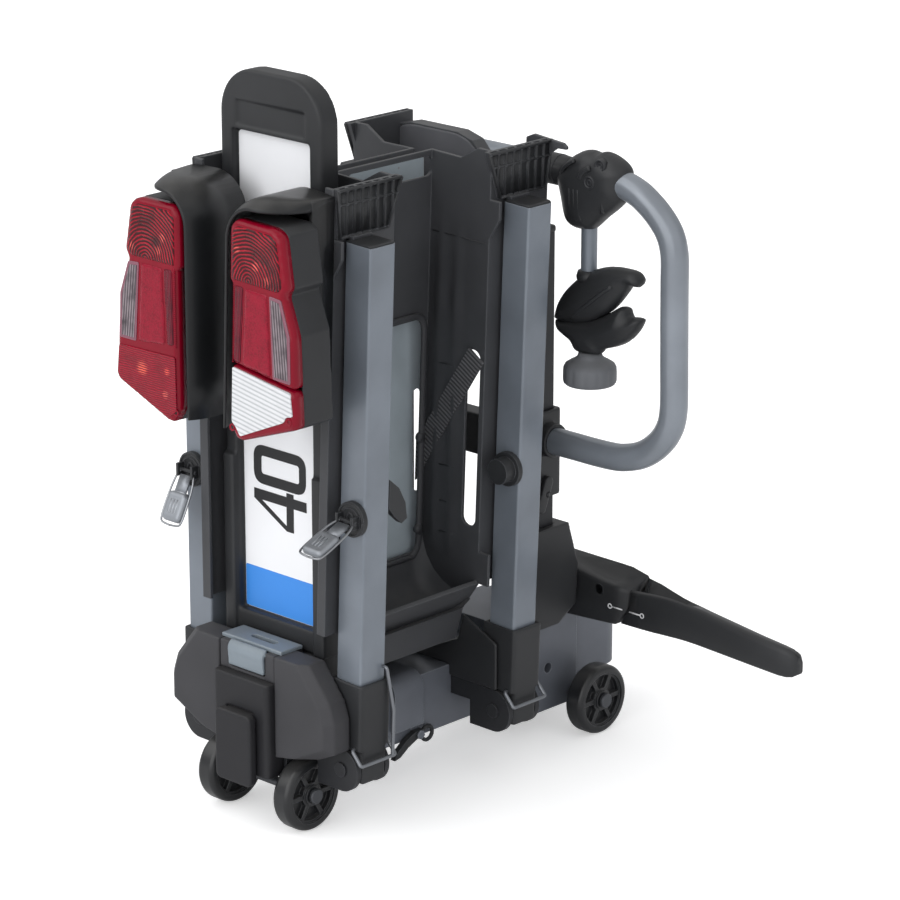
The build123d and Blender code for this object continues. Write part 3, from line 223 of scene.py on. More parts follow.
def surface_finish(name, colour, edge_wear_and_highlight_colour, roughness, grain_size, grain_depth, edge_radius=0.0012,
                   metallic=0.0, specular=0.3, coat=0.0, dustiness=0.25, mottle=0.12):
    """A lacquer, moulding or metal skin: its colour with soft mottle, dust and grain, and edges painted
    lighter as wear and highlight.
    """
    material, tree, skin = new_material(name)
    rounded_edge = add_node(tree, "Group", {"Radius": edge_radius}, node_tree=edges)
    texture = add_node(tree, "Group", {"Scale": 1.0 / grain_size}, node_tree=grain)
    veil = add_node(tree, "Group", {"Amount": dustiness}, node_tree=dust)
    shade = add_node(tree, "MapRange", {"Value": texture.outputs["Mottle"], "From Min": 0.3, "From Max": 0.7,
                                        "To Min": 1.0 - mottle, "To Max": 1.0 + mottle})
    tint = add_node(tree, "VectorMath", {0: srgb(*colour)[:3], "Scale": shade}, operation="SCALE")
    # The edge tone is partly handling wear and partly a painted highlight along the rounded edges.
    edge_wear_and_highlight_tint = add_node(tree, "Mix", {"Factor": rounded_edge.outputs["Edge"], "A": tint,
                                     "B": srgb(*edge_wear_and_highlight_colour)}, data_type="RGBA")
    dusty = add_node(tree, "Mix", {"Factor": veil, "A": edge_wear_and_highlight_tint.outputs["Result"],
                                   "B": srgb(150, 148, 144)}, data_type="RGBA")
    gloss = add_node(tree, "MapRange", {"Value": texture.outputs["Mottle"], "To Min": roughness - 0.05,
                                        "To Max": roughness + 0.07})
    relief = add_node(tree, "Bump", {"Strength": 0.5, "Distance": grain_depth,
                                     "Height": texture.outputs["Height"],
                                     "Normal": rounded_edge.outputs["Normal"]})
    feed(tree, skin, {"Base Color": dusty.outputs["Result"], "Roughness": gloss,
                      "Metallic": metallic, "Specular IOR Level": specular, "Coat Weight": coat,
                      "Coat Roughness": 0.18, "Normal": relief})
    return material


def dress(material, *node_names):
    """Gives CAD nodes whose shape is right their finish."""
    for node_name in node_names:
        for material_slot in frame["nodes"][node_name].material_slots:
            material_slot.material = material


grey_lacquer = surface_finish("grey_lacquer", (118, 125, 134), (150, 156, 164), 0.36, 0.0009, 0.00002,
                              edge_radius=0.0018, metallic=0.25, specular=0.45, coat=0.25, dustiness=0.15)
dress(grey_lacquer, "wing_tubes_right", "wing_tubes_left")


# Chassis.
# The centre beam, its saddle, the two cross arms and the coupling casting, welded and cast steel.
# The beam and the casting are lacquered a darker grey than the tubes, the hinge cheeks are black.

black_coat = surface_finish("black_powder_coat", (42, 43, 46), (78, 80, 84), 0.46, 0.0006, 0.00003,
                            metallic=0.1, specular=0.35, dustiness=0.2)
casting_grey = surface_finish("casting_lacquer", (104, 108, 116), (146, 150, 157), 0.45, 0.0016, 0.00006,
                              edge_radius=0.0022, metallic=0.25, specular=0.4, coat=0.1, dustiness=0.15)
bright_zinc = surface_finish("bright_zinc", (158, 160, 164), (205, 206, 210), 0.3, 0.0008, 0.00002,
                             edge_radius=0.0006, metallic=0.9, specular=0.5, dustiness=0.05)
dress(casting_grey, "centre_beam", "beam_saddle", "coupling_casting")
dress(black_coat, "rear_cross_arm", "front_cross_arm", "rear_fork", "mast")
dark_steel = surface_finish("dark_steel", (74, 76, 80), (118, 120, 124), 0.38, 0.0008, 0.00002,
                            edge_radius=0.0006, metallic=0.5, specular=0.4, dustiness=0.05)
wire_zinc = surface_finish("wire_zinc", (126, 129, 134), (160, 162, 166), 0.34, 0.0008, 0.00002,
                           edge_radius=0.0004, metallic=0.7, specular=0.5, dustiness=0.05)
dress(dark_steel, "axles")
dress(wire_zinc, "retaining_wires_right", "retaining_wires_left")
dress(black_coat, "hinge_pins")


# Wheels.
# Four transport wheels moulded in glossy black plastic, ribbed inside the rim, on plain steel axles.
# They are the CAD wheels with their finish.

wheel_moulding = surface_finish("wheel_moulding", (30, 31, 33), (74, 76, 79), 0.3, 0.0009, 0.00002,
                                edge_radius=0.0016, specular=0.5)
dress(wheel_moulding, "wheel_rear_left", "wheel_rear_right", "wheel_front_left", "wheel_front_right")


# Covers of the rear cross arm.
# A charcoal pair with bevelled edges, a column between them with the tilt pedal, and above it
# the latch surround with its grey paddle and top plate. All are moulded with rounded edges.


def softened(node, material, cell, passes):
    """A moulding with its edges rounded off: the CAD node's own shape, reskinned and eased."""
    source = frame["nodes"][node]
    piece = bpy.data.objects.new(node + "_skin", source.data.copy())
    bpy.context.scene.collection.objects.link(piece)
    skin = piece.modifiers.new("skin", "REMESH")
    skin.mode = "VOXEL"
    skin.voxel_size = cell
    easing = piece.modifiers.new("easing", "SMOOTH")
    easing.factor = 0.5
    easing.iterations = passes
    thinning = piece.modifiers.new("thinning", "DECIMATE")
    thinning.ratio = 0.4
    shaped = bpy.data.meshes.new_from_object(piece.evaluated_get(bpy.context.evaluated_depsgraph_get()))
    piece.modifiers.clear()
    piece.data = shaped
    shaped.materials.clear()
    shaped.materials.append(material)
    for face in shaped.polygons:
        face.use_smooth = True
        face.material_index = 0
    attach(piece, source["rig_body"])
    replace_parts(piece, node)


charcoal_moulding = surface_finish("charcoal_moulding", (60, 60, 63), (98, 99, 102), 0.55, 0.0008, 0.00005,
                                   edge_radius=0.0018, dustiness=0.15)
pedal_moulding = surface_finish("pedal_moulding", (34, 34, 37), (82, 83, 86), 0.5, 0.0008, 0.00004,
                                edge_radius=0.0018, dustiness=0.15)
grey_moulding = surface_finish("grey_moulding", (124, 134, 142), (158, 166, 172), 0.42, 0.0008, 0.00003,
                               edge_radius=0.0016, specular=0.35)
for node in ("rear_covers", "latch_surround"):
    softened(node, charcoal_moulding, 0.0013, 5)
for node in ("column_cover", "tilt_pedal"):
    softened(node, pedal_moulding, 0.0013, 5)
dress(grey_moulding, "top_plate")
softened("latch_paddle", grey_moulding, 0.0009, 4)


# Clamp lever and its hub.
# Both are black mouldings over the steel: a hub that stays on the coupling, and one long hollow lever
# that parts from it along an arc about the lever's pin and has a soft ridge along its top.

black_moulding = surface_finish("black_moulding", (43, 44, 46), (80, 82, 86), 0.42, 0.0007, 0.00003,
                                edge_radius=0.0016, specular=0.34, dustiness=0.07)


def blank(name, material, body, shape, smooth=True):
    """A new piece from a bmesh, riding on its body."""
    mesh = bpy.data.meshes.new(name)
    bmesh.ops.recalc_face_normals(shape, faces=shape.faces)
    shape.to_mesh(mesh)
    shape.free()
    mesh.materials.append(material)
    for face in mesh.polygons:
        face.use_smooth = smooth
    piece = bpy.data.objects.new(name, mesh)
    bpy.context.scene.collection.objects.link(piece)
    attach(piece, body)
    return piece


def stand_in(name, material, node, shape):
    """A piece in the place of a CAD node, on its body."""
    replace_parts(blank(name, material, frame["nodes"][node]["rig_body"], shape), node)


def join_rings(shape, rings, capped=True):
    """Joins closed rings of equal count, one to the next, and closes both ends."""
    count = len(rings[0])
    for ring, following in zip(rings, rings[1:]):
        for k in range(count):
            shape.faces.new((ring[k], ring[(k + 1) % count], following[(k + 1) % count], following[k]))
    if capped:
        shape.faces.new(rings[0][::-1])
        shape.faces.new(rings[-1])


def add_loft(shape, sections, capped=True):
    """A skin over closed sections of equal count, in millimetres."""
    join_rings(shape, [[shape.verts.new(Vector(point) / 1000) for point in section] for section in sections],
               capped)


lever_pin_x, lever_pin_z = 112, 178
hub_end_radius, lever_root_radius, lever_recess_radius = 43, 45.4, 50.0


def lever_section(x_at, low, ridge, far_top, hollow, near=195.0, far=233.0):
    """A section: an upright near face, a ridge on the top edge, a hollow beside it, a lower far edge."""
    middle = [(near + (far - near) * share, ridge + (far_top - ridge) * share - hollow)
              for share in (0.36, 0.64)]
    corner = min(6.0, (ridge - low) * 0.3)
    outline = [(near + 1.5, low), (near, low + 2), (near, (low + ridge) / 2), (near, ridge - corner),
               (near + 1.4, ridge - corner * 0.3), (near + 5, ridge), *middle, (far - 5, far_top),
               (far - 1.4, far_top - corner * 0.3), (far, far_top - corner),
               (far, low * 0.35 + far_top * 0.65), (far, low * 0.7 + far_top * 0.3),
               (far, low + 2), (far - 1.5, low)]
    return [(x_at(z), y, z) for y, z in outline]


def on_arc(radius):
    """The x on an arc about the lever's pin, for a height."""
    return lambda z: lever_pin_x + math.sqrt(max(0.0, radius ** 2 - (z - lever_pin_z) ** 2))


def across(x):
    """The same x at every height."""
    return lambda z: x


hub_shape = bmesh.new()
add_loft(hub_shape, [lever_section(across(x), *heights) for x, *heights in (
    (-50, 142, 192, 192, 0), (10, 142, 195, 193, 0), (38, 140, 196.5, 201.5, 0),
    (62, 136.5, 196.6, 201.2, 2), (89, 138.2, 192.5, 201, 5), (116, 140, 188.4, 200.9, 6),
    (130, 141, 187.4, 200.6, 5))] + [lever_section(on_arc(hub_end_radius), 141.5, 187.0, 196.0, 2)])
stand_in("lever_hub_shell", black_moulding, "lever_hub", hub_shape)

# The lever's root is hollowed, so that its flat end clears the hub when it lifts.
lever_shape = bmesh.new()
add_loft(lever_shape, [lever_section(on_arc(lever_recess_radius), 148.0, 183.6, 190, 10, 198.0, 230.0),
                       lever_section(on_arc(lever_root_radius), 144.6, 186.6, 193, 10)]
         + [lever_section(across(x), *heights) for x, *heights in (
             (172, 145.0, 187.6, 190.5, 15, 195.0, 233.0), (190, 145.6, 189.2, 186.5, 15, 195.0, 232.0),
             (208, 146.6, 190.2, 183.5, 12, 195.0, 230.0), (222, 147.3, 189.9, 182.2, 6, 195.0, 228.5),
             (236, 147.7, 189.0, 181.4, 1, 195.0, 227.0), (251, 147.5, 187.6, 180.0, -1, 195.0, 225.5),
             (285, 145.8, 183.1, 176.5, -1.5, 195.2, 223.0), (334, 143.3, 177.4, 171.0, -1.5, 195.4, 221.5),
             (366, 141.6, 174.0, 168.2, -1.5, 196.0, 220.5), (376, 141.4, 172.6, 167.4, -1, 197.8, 219.6),
             (382, 142.2, 169.6, 165.8, -0.5, 200.6, 217.8), (386, 144.6, 164.0, 162.2, 0, 204.4, 215.0))])
stand_in("clamp_lever_shell", black_moulding, "clamp_lever", lever_shape)


# Shoes, caps and fittings of the tubes and the mast.
# Black mouldings pushed or screwed onto the steel: the mast's shoe and cap, its sliding bracket with
# the latch, the shoes and caps of the wings' tubes, and the thin cover of the front cross arm.

for node, cell, passes in (
    ("mast_fittings", 0.0014, 8), ("front_arm_cover", 0.0014, 6), ("wing_shoes_right", 0.0014, 6),
    ("wing_shoes_left", 0.0014, 6), ("tube_caps_right", 0.0014, 3), ("tube_caps_left", 0.0014, 3),
    ("mast_bracket", 0.0014, 6), ("bracket_latch", 0.0009, 4),
):
    softened(node, black_moulding, cell, passes)
dress(grey_lacquer, "clamp_stem")
dress(black_moulding, "hoop_sleeves", "beam_hook")


# Hoop.
# One bent steel tube that the bicycle is held to, lacquered like the folding tubes. Its straight top
# passes through the clamp head and its lower end sits in the bracket on the mast.

def add_rod(shape, points, radius, sides=10, squash=1.0):
    """A round bead or wire through points in millimetres, closed at both ends."""
    points = [Vector(point) / 1000 for point in points]
    rings = []
    for place, point in enumerate(points):
        before = points[max(place - 1, 0)]
        after = points[min(place + 1, len(points) - 1)]
        along = (after - before).normalized()
        side = along.cross(Vector((0.13, 0.97, 0.21))).normalized()
        up = side.cross(along).normalized()
        rings.append([shape.verts.new(point + (side * math.cos(2 * math.pi * k / sides) * squash
                                               + up * math.sin(2 * math.pi * k / sides)) * radius / 1000)
                      for k in range(sides)])
    join_rings(shape, rings)


def eased(points, steps=6):
    """A smooth line through points."""
    points = [Vector(point) for point in points]
    line = []
    for k in range(len(points) - 1):
        before, start, end = points[max(k - 1, 0)], points[k], points[k + 1]
        after = points[min(k + 2, len(points) - 1)]
        for step in range(steps):
            t = step / steps
            line.append(0.5 * (2 * start + (end - before) * t
                               + (2 * before - 5 * start + 4 * end - after) * t ** 2
                               + (3 * start - before - 3 * end + after) * t ** 3))
    return line + [points[-1]]


def ring_round(x, y, z, radius, corners, height=None):
    """Points of a closed ring or oval that stands upright at a depth y."""
    return [(x + radius * math.cos(2 * math.pi * k / corners), y,
             z + (height or radius) * math.sin(2 * math.pi * k / corners)) for k in range(corners + 1)]


hoop_y = 133
hoop_radius = 15.0
hoop_lacquer = surface_finish("hoop_lacquer", (132, 138, 146), (156, 162, 170), 0.32, 0.0009, 0.00002,
                              edge_radius=0.0008, metallic=0.3, specular=0.45, coat=0.3, dustiness=0.1)
hoop_line = [(-60, 666), (40, 666), (120, 666), (165, 666), (183, 665.4), (199.3, 663.4), (212, 659.4),
             (222, 654.8), (238.7, 643.5), (252.6, 630.2), (260.5, 618), (264.6, 604), (265.8, 590),
             (266, 560), (267, 500), (268, 450), (267.4, 430), (264.0, 414.4), (255, 398.5), (239.9, 383.4),
             (221.8, 372.2), (199.2, 365), (182.1, 362.8), (159, 362), (136, 362), (112.6, 362), (88, 362)]
hoop_shape = bmesh.new()
add_rod(hoop_shape, [(x, hoop_y, z) for x, z in eased(hoop_line, 4)], hoop_radius, sides=32)
stand_in("hoop_tube_shell", hoop_lacquer, "hoop_tube", hoop_shape)


# Lock marks.
# Two small white marks moulded proud, one on the hub and one on the lever: a ring with a line that
# leads to the parting between them, so that the user sees when the lever is down.

mark_y, mark_z = 194.75, 161.8
mark_white = surface_finish("mark_white", (225, 226, 228), (225, 226, 228), 0.5, 0.0006, 0.00001)
for name, body, ring_x, line_start, line_end in (("lock_mark_hub", "frame", 127.8, 130.6, 146.0),
                                                 ("lock_mark_lever", "clamp_lever", 174.9, 156.5, 172.0)):
    mark = bmesh.new()
    add_rod(mark, ring_round(ring_x, mark_y, mark_z, 2.5, 20), 0.7)
    add_rod(mark, [(line_start, mark_y, mark_z), (line_end, mark_y, mark_z)], 0.8)
    blank(name, mark_white, body, mark)


# Bicycle clamp.
# Two crowned jaws and a clamp head, moulded in black plastic. The head grips the hoop with two screws
# and carries the jaws on a steel stem; a ridge and a collar are moulded on the upper jaw.

def add_pillow(shape, outline, spacing, near, far):
    """A moulded body with an outline of x and z; near and far give its y by the distance from the rim."""
    rim = [Vector(point) for point in outline]
    sides = list(zip(rim, rim[1:] + rim[:1]))

    def to_rim(point):
        best = None
        for start, end in sides:
            along = end - start
            share = min(1.0, max(0.0, (point - start).dot(along) / along.length_squared))
            spot = start + along * share
            if best is None or (point - spot).length < best[0]:
                best = ((point - spot).length, spot)
        return best

    def is_inside(point):
        crossed = False
        for start, end in sides:
            if (start.y > point.y) != (end.y > point.y):
                if point.x < start.x + (point.y - start.y) / (end.y - start.y) * (end.x - start.x):
                    crossed = not crossed
        return crossed

    low_x, low_z = min(p.x for p in rim) - spacing, min(p.y for p in rim) - spacing
    columns = int((max(p.x for p in rim) - low_x) / spacing) + 3
    rows = int((max(p.y for p in rim) - low_z) / spacing) + 3
    pairs = {}
    for i in range(columns):
        for j in range(rows):
            point = Vector((low_x + i * spacing, low_z + j * spacing))
            gap, spot = to_rim(point)
            within = is_inside(point)
            if not within and gap > spacing * 0.72:
                continue
            if not within or gap < spacing * 0.28:
                point, gap = spot, 0.0
            first, second = near(gap), far(gap)
            if abs(second - first) < 1e-6:
                ends = [shape.verts.new((point.x / 1000, first / 1000, point.y / 1000))] * 2
            else:
                ends = [shape.verts.new((point.x / 1000, y / 1000, point.y / 1000)) for y in (first, second)]
            pairs[i, j] = (*ends, gap)
    open_sides = set()
    for i, j in pairs:
        cell = [key for key in ((i, j), (i + 1, j), (i + 1, j + 1), (i, j + 1)) if key in pairs]
        if len(cell) < 3 or all(pairs[key][2] == 0.0 for key in cell):
            continue
        shape.faces.new([pairs[key][0] for key in cell])
        shape.faces.new([pairs[key][1] for key in cell[::-1]])
        for one, other in zip(cell, cell[1:] + cell[:1]):
            open_sides ^= {frozenset((one, other))}
    for one, other in (sorted(side) for side in sorted(open_sides, key=sorted)):
        if pairs[one][0] is not pairs[one][1] and pairs[other][0] is not pairs[other][1]:
            shape.faces.new((pairs[one][0], pairs[one][1], pairs[other][1], pairs[other][0]))
    bmesh.ops.delete(shape, geom=[vertex for vertex in shape.verts if not vertex.link_faces], context="VERTS")


def crown(reach, gap):
    """How far up a quarter round of a given reach a point is, from 0 at the rim to 1 inside."""
    return math.sqrt(max(0.0, 1 - (1 - min(gap / reach, 1.0)) ** 2))


def add_turned(shape, centre, profile, axis="Z", sides=32, flutes=0, flute_depth=0.0, fluted=()):
    """A turned shape about an axis: its profile is radius and height in millimetres."""
    rings = []
    for radius, height in profile:
        ring = []
        for k in range(sides):
            turn = 2 * math.pi * k / sides
            reach = radius
            if (radius, height) in fluted:
                reach -= flute_depth * max(0.0, math.cos(turn * flutes)) ** 2
            a, b = reach * math.cos(turn), reach * math.sin(turn)
            offset = {"Z": (a, b, height), "Y": (a, height, b), "X": (height, a, b)}[axis]
            ring.append(shape.verts.new((Vector(centre) + Vector(offset)) / 1000))
        rings.append(ring)
    join_rings(shape, rings)


crown_reach = 26
upper_jaw_rim = [(100.7, 503.5), (104.9, 518.8), (113.4, 532.7), (124.8, 544.8), (139, 556.3), (158.8, 566.6),
                 (177.2, 572.7), (196.9, 574.7), (213.7, 573.9), (220.8, 568.2), (222.3, 563), (218.2, 557.3),
                 (208.4, 556.6), (201.6, 548.2), (190.5, 534.6), (179.4, 523.6), (168.1, 516), (156.8, 509),
                 (145.4, 504.6), (126.8, 501.2), (108, 500)]
lower_jaw_rim = [(101.5, 502.0), (105.2, 490.9), (114, 485.3), (124.9, 480.2), (130.1, 473.4), (137.3, 470.4),
                 (163.1, 473), (170.1, 480), (188.5, 486.8), (203.9, 494.8), (216.4, 507.1), (223.2, 519),
                 (222.6, 523.3), (216, 524.6), (207, 523.4), (202.6, 531.9), (193.4, 531.8), (180.8, 524),
                 (168.2, 516.4), (156.9, 511), (142.6, 507.4), (119.6, 504.6)]
head_rim = [(106.9, 655), (106.1, 663.6), (113.1, 674.6), (123, 683.3), (134.3, 690.6), (147, 694.8),
            (159.7, 693.2), (168.1, 696), (180.7, 693.8), (193.4, 687.8), (200.5, 679.3), (201, 668),
            (199, 651), (185.9, 636.3), (169.3, 623.1), (156.7, 611.7), (149.7, 608.2), (132.6, 607.4),
            (121.8, 612.1), (115.9, 621.5), (111.4, 639.4)]
for node, rim, half, spacing in (("clamp_head", head_rim, 22, 1.6), ("upper_jaw", upper_jaw_rim, 17.5, 1.5),
                                 ("lower_jaw", lower_jaw_rim, 17.5, 1.5)):
    shell = bmesh.new()
    add_pillow(shell, [(p.x, p.y) for p in eased(rim + rim[:1], 3)[:-1]], spacing,
               lambda gap: hoop_y - half * crown(crown_reach, gap),
               lambda gap: hoop_y + half * crown(crown_reach, gap))
    stand_in(node + "_shell", black_moulding, node, shell)

jaw_trim = bmesh.new()
add_rod(jaw_trim, eased([(131, 122.6, 510), (144, 118.9, 520), (160, 117.2, 532), (176, 117.0, 545),
                         (191, 118.6, 556)], 3), 2.4)
add_turned(jaw_trim, (146, hoop_y, 0), [(9.2, 552), (13.0, 553), (13.6, 557), (12.0, 562.5), (9.2, 563.5)])
blank("jaw_ridge_and_collar", black_moulding, "clamp", jaw_trim)

# Ribs of the head: a bead down its side, three thin ones down its neck and two on its shoulders.
head_trim = bmesh.new()
add_rod(head_trim, eased([(178.2, 116.2, 658), (177.2, 117.0, 645), (174.2, 121.2, 633)], 4), 2.6)
for x in (135.5, 141.5, 147.5):
    add_rod(head_trim, eased([(x, 111.9, 655), (x + 1, 112.2, 636), (x + 2, 115.2, 620)], 3), 1.3)
add_rod(head_trim, eased([(150, 112.4, 668), (155, 111.8, 675), (164, 112.6, 681)], 4), 3.0)
add_rod(head_trim, eased([(120, 116.5, 668), (128, 113.5, 677), (140, 114.6, 685)], 4), 2.2)
blank("head_ribs", black_moulding, "clamp", head_trim)

head_screws = bmesh.new()
for place in ((175.5, 114.6, 684.5), (164, 110.6, 665.5)):
    add_turned(head_screws, place, [(7.4, 6), (7.4, 0.4), (6.6, -0.8), (5.2, -0.8), (4.8, 1.2)], axis="Y",
               sides=28)
    add_turned(head_screws, place, [(4.2, 5), (4.2, 0.6), (3.4, -0.2), (2.0, -0.2), (1.7, 1.6)], axis="Y",
               sides=24, flutes=6, flute_depth=0.6, fluted=((2.0, -0.2), (1.7, 1.6)))
stand_in("head_screws", black_coat, "clamp_screws", head_screws)

sleeve_shape = bmesh.new()
add_turned(sleeve_shape, (0, hoop_y, 666), [(2, 60), (15.8, 60), (16.4, 61), (16.4, 110), (15.9, 112),
                                            (15.9, 136), (2, 136)], axis="X", sides=40)
blank("head_sleeve", black_moulding, "hoop", sleeve_shape)


# Hand knob.
# A grey moulding with twelve shallow flutes round its skirt and a stepped neck. It turns on the stud
# under the lower jaw and closes the jaws.

knob_moulding = surface_finish("knob_moulding", (98, 100, 104), (128, 130, 134), 0.5, 0.0008, 0.00004)
knob_shape = bmesh.new()
skirt = ((28.2, 439.2), (29.0, 442), (29.0, 452), (28.6, 456.5))
add_turned(knob_shape, (149, hoop_y, 0), [(2, 437.6), (22, 437.6), (26.5, 438), *skirt, (27.0, 459.6),
                                          (22.5, 462.6), (17.0, 465.6), (13.8, 468.4), (12.6, 472.4),
                                          (2, 472.4)], sides=96, flutes=12, flute_depth=1.0, fluted=skirt)
stand_in("hand_knob", knob_moulding, "clamp_knob", knob_shape)


# Number plate and its holder.
# The holder is one deep black moulding with a soft edge; the plate is white reflective foil on sheet,
# with pressed black digits that read upward and a plain blue band at its foot.

def add_slab(shape, outline, near, far):
    """A plate between two depths with an outline of x and z, in millimetres."""
    add_loft(shape, [[(x, depth, z) for x, z in outline] for depth in (near, far)])


def rounded(outline, radius, steps=6):
    """An outline of x and z with its corners rounded, each by the radius or what its sides allow."""
    result = []
    count = len(outline)
    for k in range(count):
        before, corner, after = (Vector(outline[(k + step) % count]) for step in (-1, 0, 1))
        to_before, to_after = before - corner, after - corner
        reach = min(radius, to_before.length * 0.48, to_after.length * 0.48)
        start = corner + to_before.normalized() * reach
        end = corner + to_after.normalized() * reach
        for step in range(steps + 1):
            t = step / steps
            result.append(tuple(start * (1 - t) ** 2 + corner * 2 * t * (1 - t) + end * t ** 2))
    return result


def box_outline(low_x, high_x, low_z, high_z):
    """The four corners of an upright rectangle."""
    return [(low_x, low_z), (high_x, low_z), (high_x, high_z), (low_x, high_z)]


softened("plate_holder", black_moulding, 0.0016, 8)
dress(black_moulding, "holder_seat")
plate_foil = surface_finish("plate_foil", (239, 240, 243), (222, 223, 228), 0.42, 0.0006, 0.00001,
                            edge_radius=0.0005, specular=0.4, mottle=0.02, dustiness=0.05)
dress(plate_foil, "number_plate")
band_foil = surface_finish("band_foil", (62, 140, 226), (52, 120, 200), 0.42, 0.0006, 0.00001,
                           edge_radius=0.0004, specular=0.4, mottle=0.03, dustiness=0.05)
digit_ink = surface_finish("digit_ink", (40, 40, 42), (60, 60, 62), 0.45, 0.0006, 0.00001,
                           edge_radius=0.0005)
plate_y, band_y, digit_y = -185.9, -186.15, -186.55

band_shape = bmesh.new()
add_slab(band_shape, rounded(box_outline(-54.6, 54.6, 218.4, 265), 2.5), band_y, plate_y)
blank("country_band", band_foil, "plate_carrier", band_shape, smooth=False)

# The digits lie on their side: a nought drawn as a rounded loop, and below it a four of three strokes,
# each a little deeper than the last so that no two faces coincide where they cross.
digits = bmesh.new()
outside = rounded(box_outline(-40, 38.5, 359.5, 402.5), 15, steps=8)
inside = rounded(box_outline(-28.5, 28.5, 371, 391), 3.5, steps=8)
add_loft(digits, [[(x, y, z) for x, z in loop] for loop, y in (
    (outside, plate_y), (outside, digit_y), (inside, digit_y), (inside, plate_y))], capped=False)
for stroke, deeper in ((box_outline(-40, 39, 342, 353), 0.0), (box_outline(9, 19.5, 315, 357.5), 0.04),
                       ([(9, 315), (19, 315), (-29, 342), (-40, 342)], 0.08)):
    add_slab(digits, stroke, digit_y + deeper, plate_y + deeper)
blank("plate_digits", digit_ink, "plate_carrier", digits, smooth=False)


# Trays.
# Each wing carries a deep black tray for a bicycle wheel, moulded in one piece, and the left one has a
# grey sheet. The wings' pieces are drawn on an upright right wing, then leaned or mirrored into place.

wing_hinge, wing_lean = Vector((0.109, 0, 0.08)), math.radians(2.3)
right_lean = (Matrix.Translation(wing_hinge) @ Matrix.Rotation(wing_lean, 4, "Y")
              @ Matrix.Translation(-wing_hinge))
left_mirror = Matrix.Scale(-1, 4, (1, 0, 0))
wing_place = {"right": right_lean, "left": left_mirror}


def on_wing(side, name, material, shape, smooth=True):
    """A piece drawn on the upright right wing, set on the leaning right wing or mirrored to the left."""
    shape.transform(wing_place[side])
    return blank(name + "_" + side, material, "wing_" + side, shape, smooth)


tray_moulding = surface_finish("tray_moulding", (64, 65, 68), (88, 90, 94), 0.48, 0.0008, 0.00004,
                               edge_radius=0.0022, specular=0.34)
dress(tray_moulding, "tray_right", "tray_left")
sheet_lacquer = surface_finish("sheet_lacquer", (166, 177, 184), (188, 196, 200), 0.4, 0.0009, 0.00002,
                               edge_radius=0.0008, metallic=0.1, specular=0.4)
dress(sheet_lacquer, "tray_sheet_left")


# Combs of the trays.
# The tray's top edge grips each tube with a flared plate, moulded with a comb of upright ribs between
# a bead along its foot, two along its top and one down each slanted side.

comb_foot, comb_top = 655, 707
comb_x, comb_plate = 94.0, (92.6, 93.5)


def edge_at(z, low, top):
    """The y of a comb's slanted side edge at a height."""
    return low + (top - low) * (z - comb_foot) / (comb_top - comb_foot)


def comb_pieces(side):
    """The combs over both tubes of a wing."""
    combs = bmesh.new()
    for top_start, top_end, low_start, low_end in ((-214, -124, -210, -142), (7, 103, 25, 95)):
        outline = [(low_start, 655.5), (low_end, 655.5), (top_end, 706.5), (top_start, 706.5)]
        add_loft(combs, [[(x, y, z) for y, z in outline] for x in comb_plate])
        for k in range(9):
            y = top_start + (top_end - top_start) * (k + 0.12) / 8.24
            foot = 657.0
            while foot < 700 and not (edge_at(foot, low_start, top_start) - 0.5 <= y
                                      <= edge_at(foot, low_end, top_end) + 0.5):
                foot += 1.0
            if foot < 700:
                add_rod(combs, [(comb_x, y, foot), (comb_x, y, 704.5)], 2.0, sides=8, squash=0.7)
        for z, thick in ((705.6, 1.8), (690.5, 1.4)):
            ends = edge_at(z, low_start, top_start), edge_at(z, low_end, top_end)
            add_rod(combs, [(94.3, y, z) for y in ends], thick, sides=8)
        add_rod(combs, [(comb_x, low_start, 656.5), (comb_x, low_end, 656.5)], 1.7, sides=8)
        for low_y, top_y in ((low_start, top_start), (low_end, top_end)):
            add_rod(combs, [(comb_x, low_y, 656.5), (comb_x, top_y, 705.5)], 1.8, sides=8)
    on_wing(side, "comb_ribs", black_moulding, combs)


# Bowls and window rims of the trays.
# Below its window the tray swells into a rounded bowl that rises towards its wall. The window has a
# raised bead round it, with two moulded clips on the wall's side.

def evenly(start, end, parts):
    """Evenly spaced values from a start to an end."""
    return [start + (end - start) * k / parts for k in range(parts + 1)]


def add_sheet(shape, point_at, row_values, column_values):
    """An open sheet over a grid of points, each from its row's and its column's value, in millimetres."""
    grid = [[shape.verts.new(Vector(point_at(row, column)) / 1000) for column in column_values]
            for row in row_values]
    for row, following in zip(grid, grid[1:]):
        for k in range(len(row) - 1):
            shape.faces.new((row[k], row[k + 1], following[k + 1], following[k]))


bowl_profile = [(3.6, 240), (6.5, 228), (13, 214), (24, 203), (38, 197), (52, 195), (66, 194.5), (80, 198)]
bowl_start, bowl_end, bowl_columns = -131, 14.5, 24
bowl_rise, rise_start, rise_width, rise_fade = 26.0, -6, 20.5, 110


def bowl_point(profile_point, y):
    """A place on the bowl, which rises towards the tray's wall, most at the window's edge."""
    x, z = profile_point
    toward_wall = max(0.0, (y - rise_start) / rise_width)
    return x, y, z + bowl_rise * toward_wall ** 2 * (1 - (x - bowl_profile[0][0]) / rise_fade)


window_corners = rounded([(-116, 236), (9.5, 236), (9.5, 512), (-116, 512)], 20, steps=7)


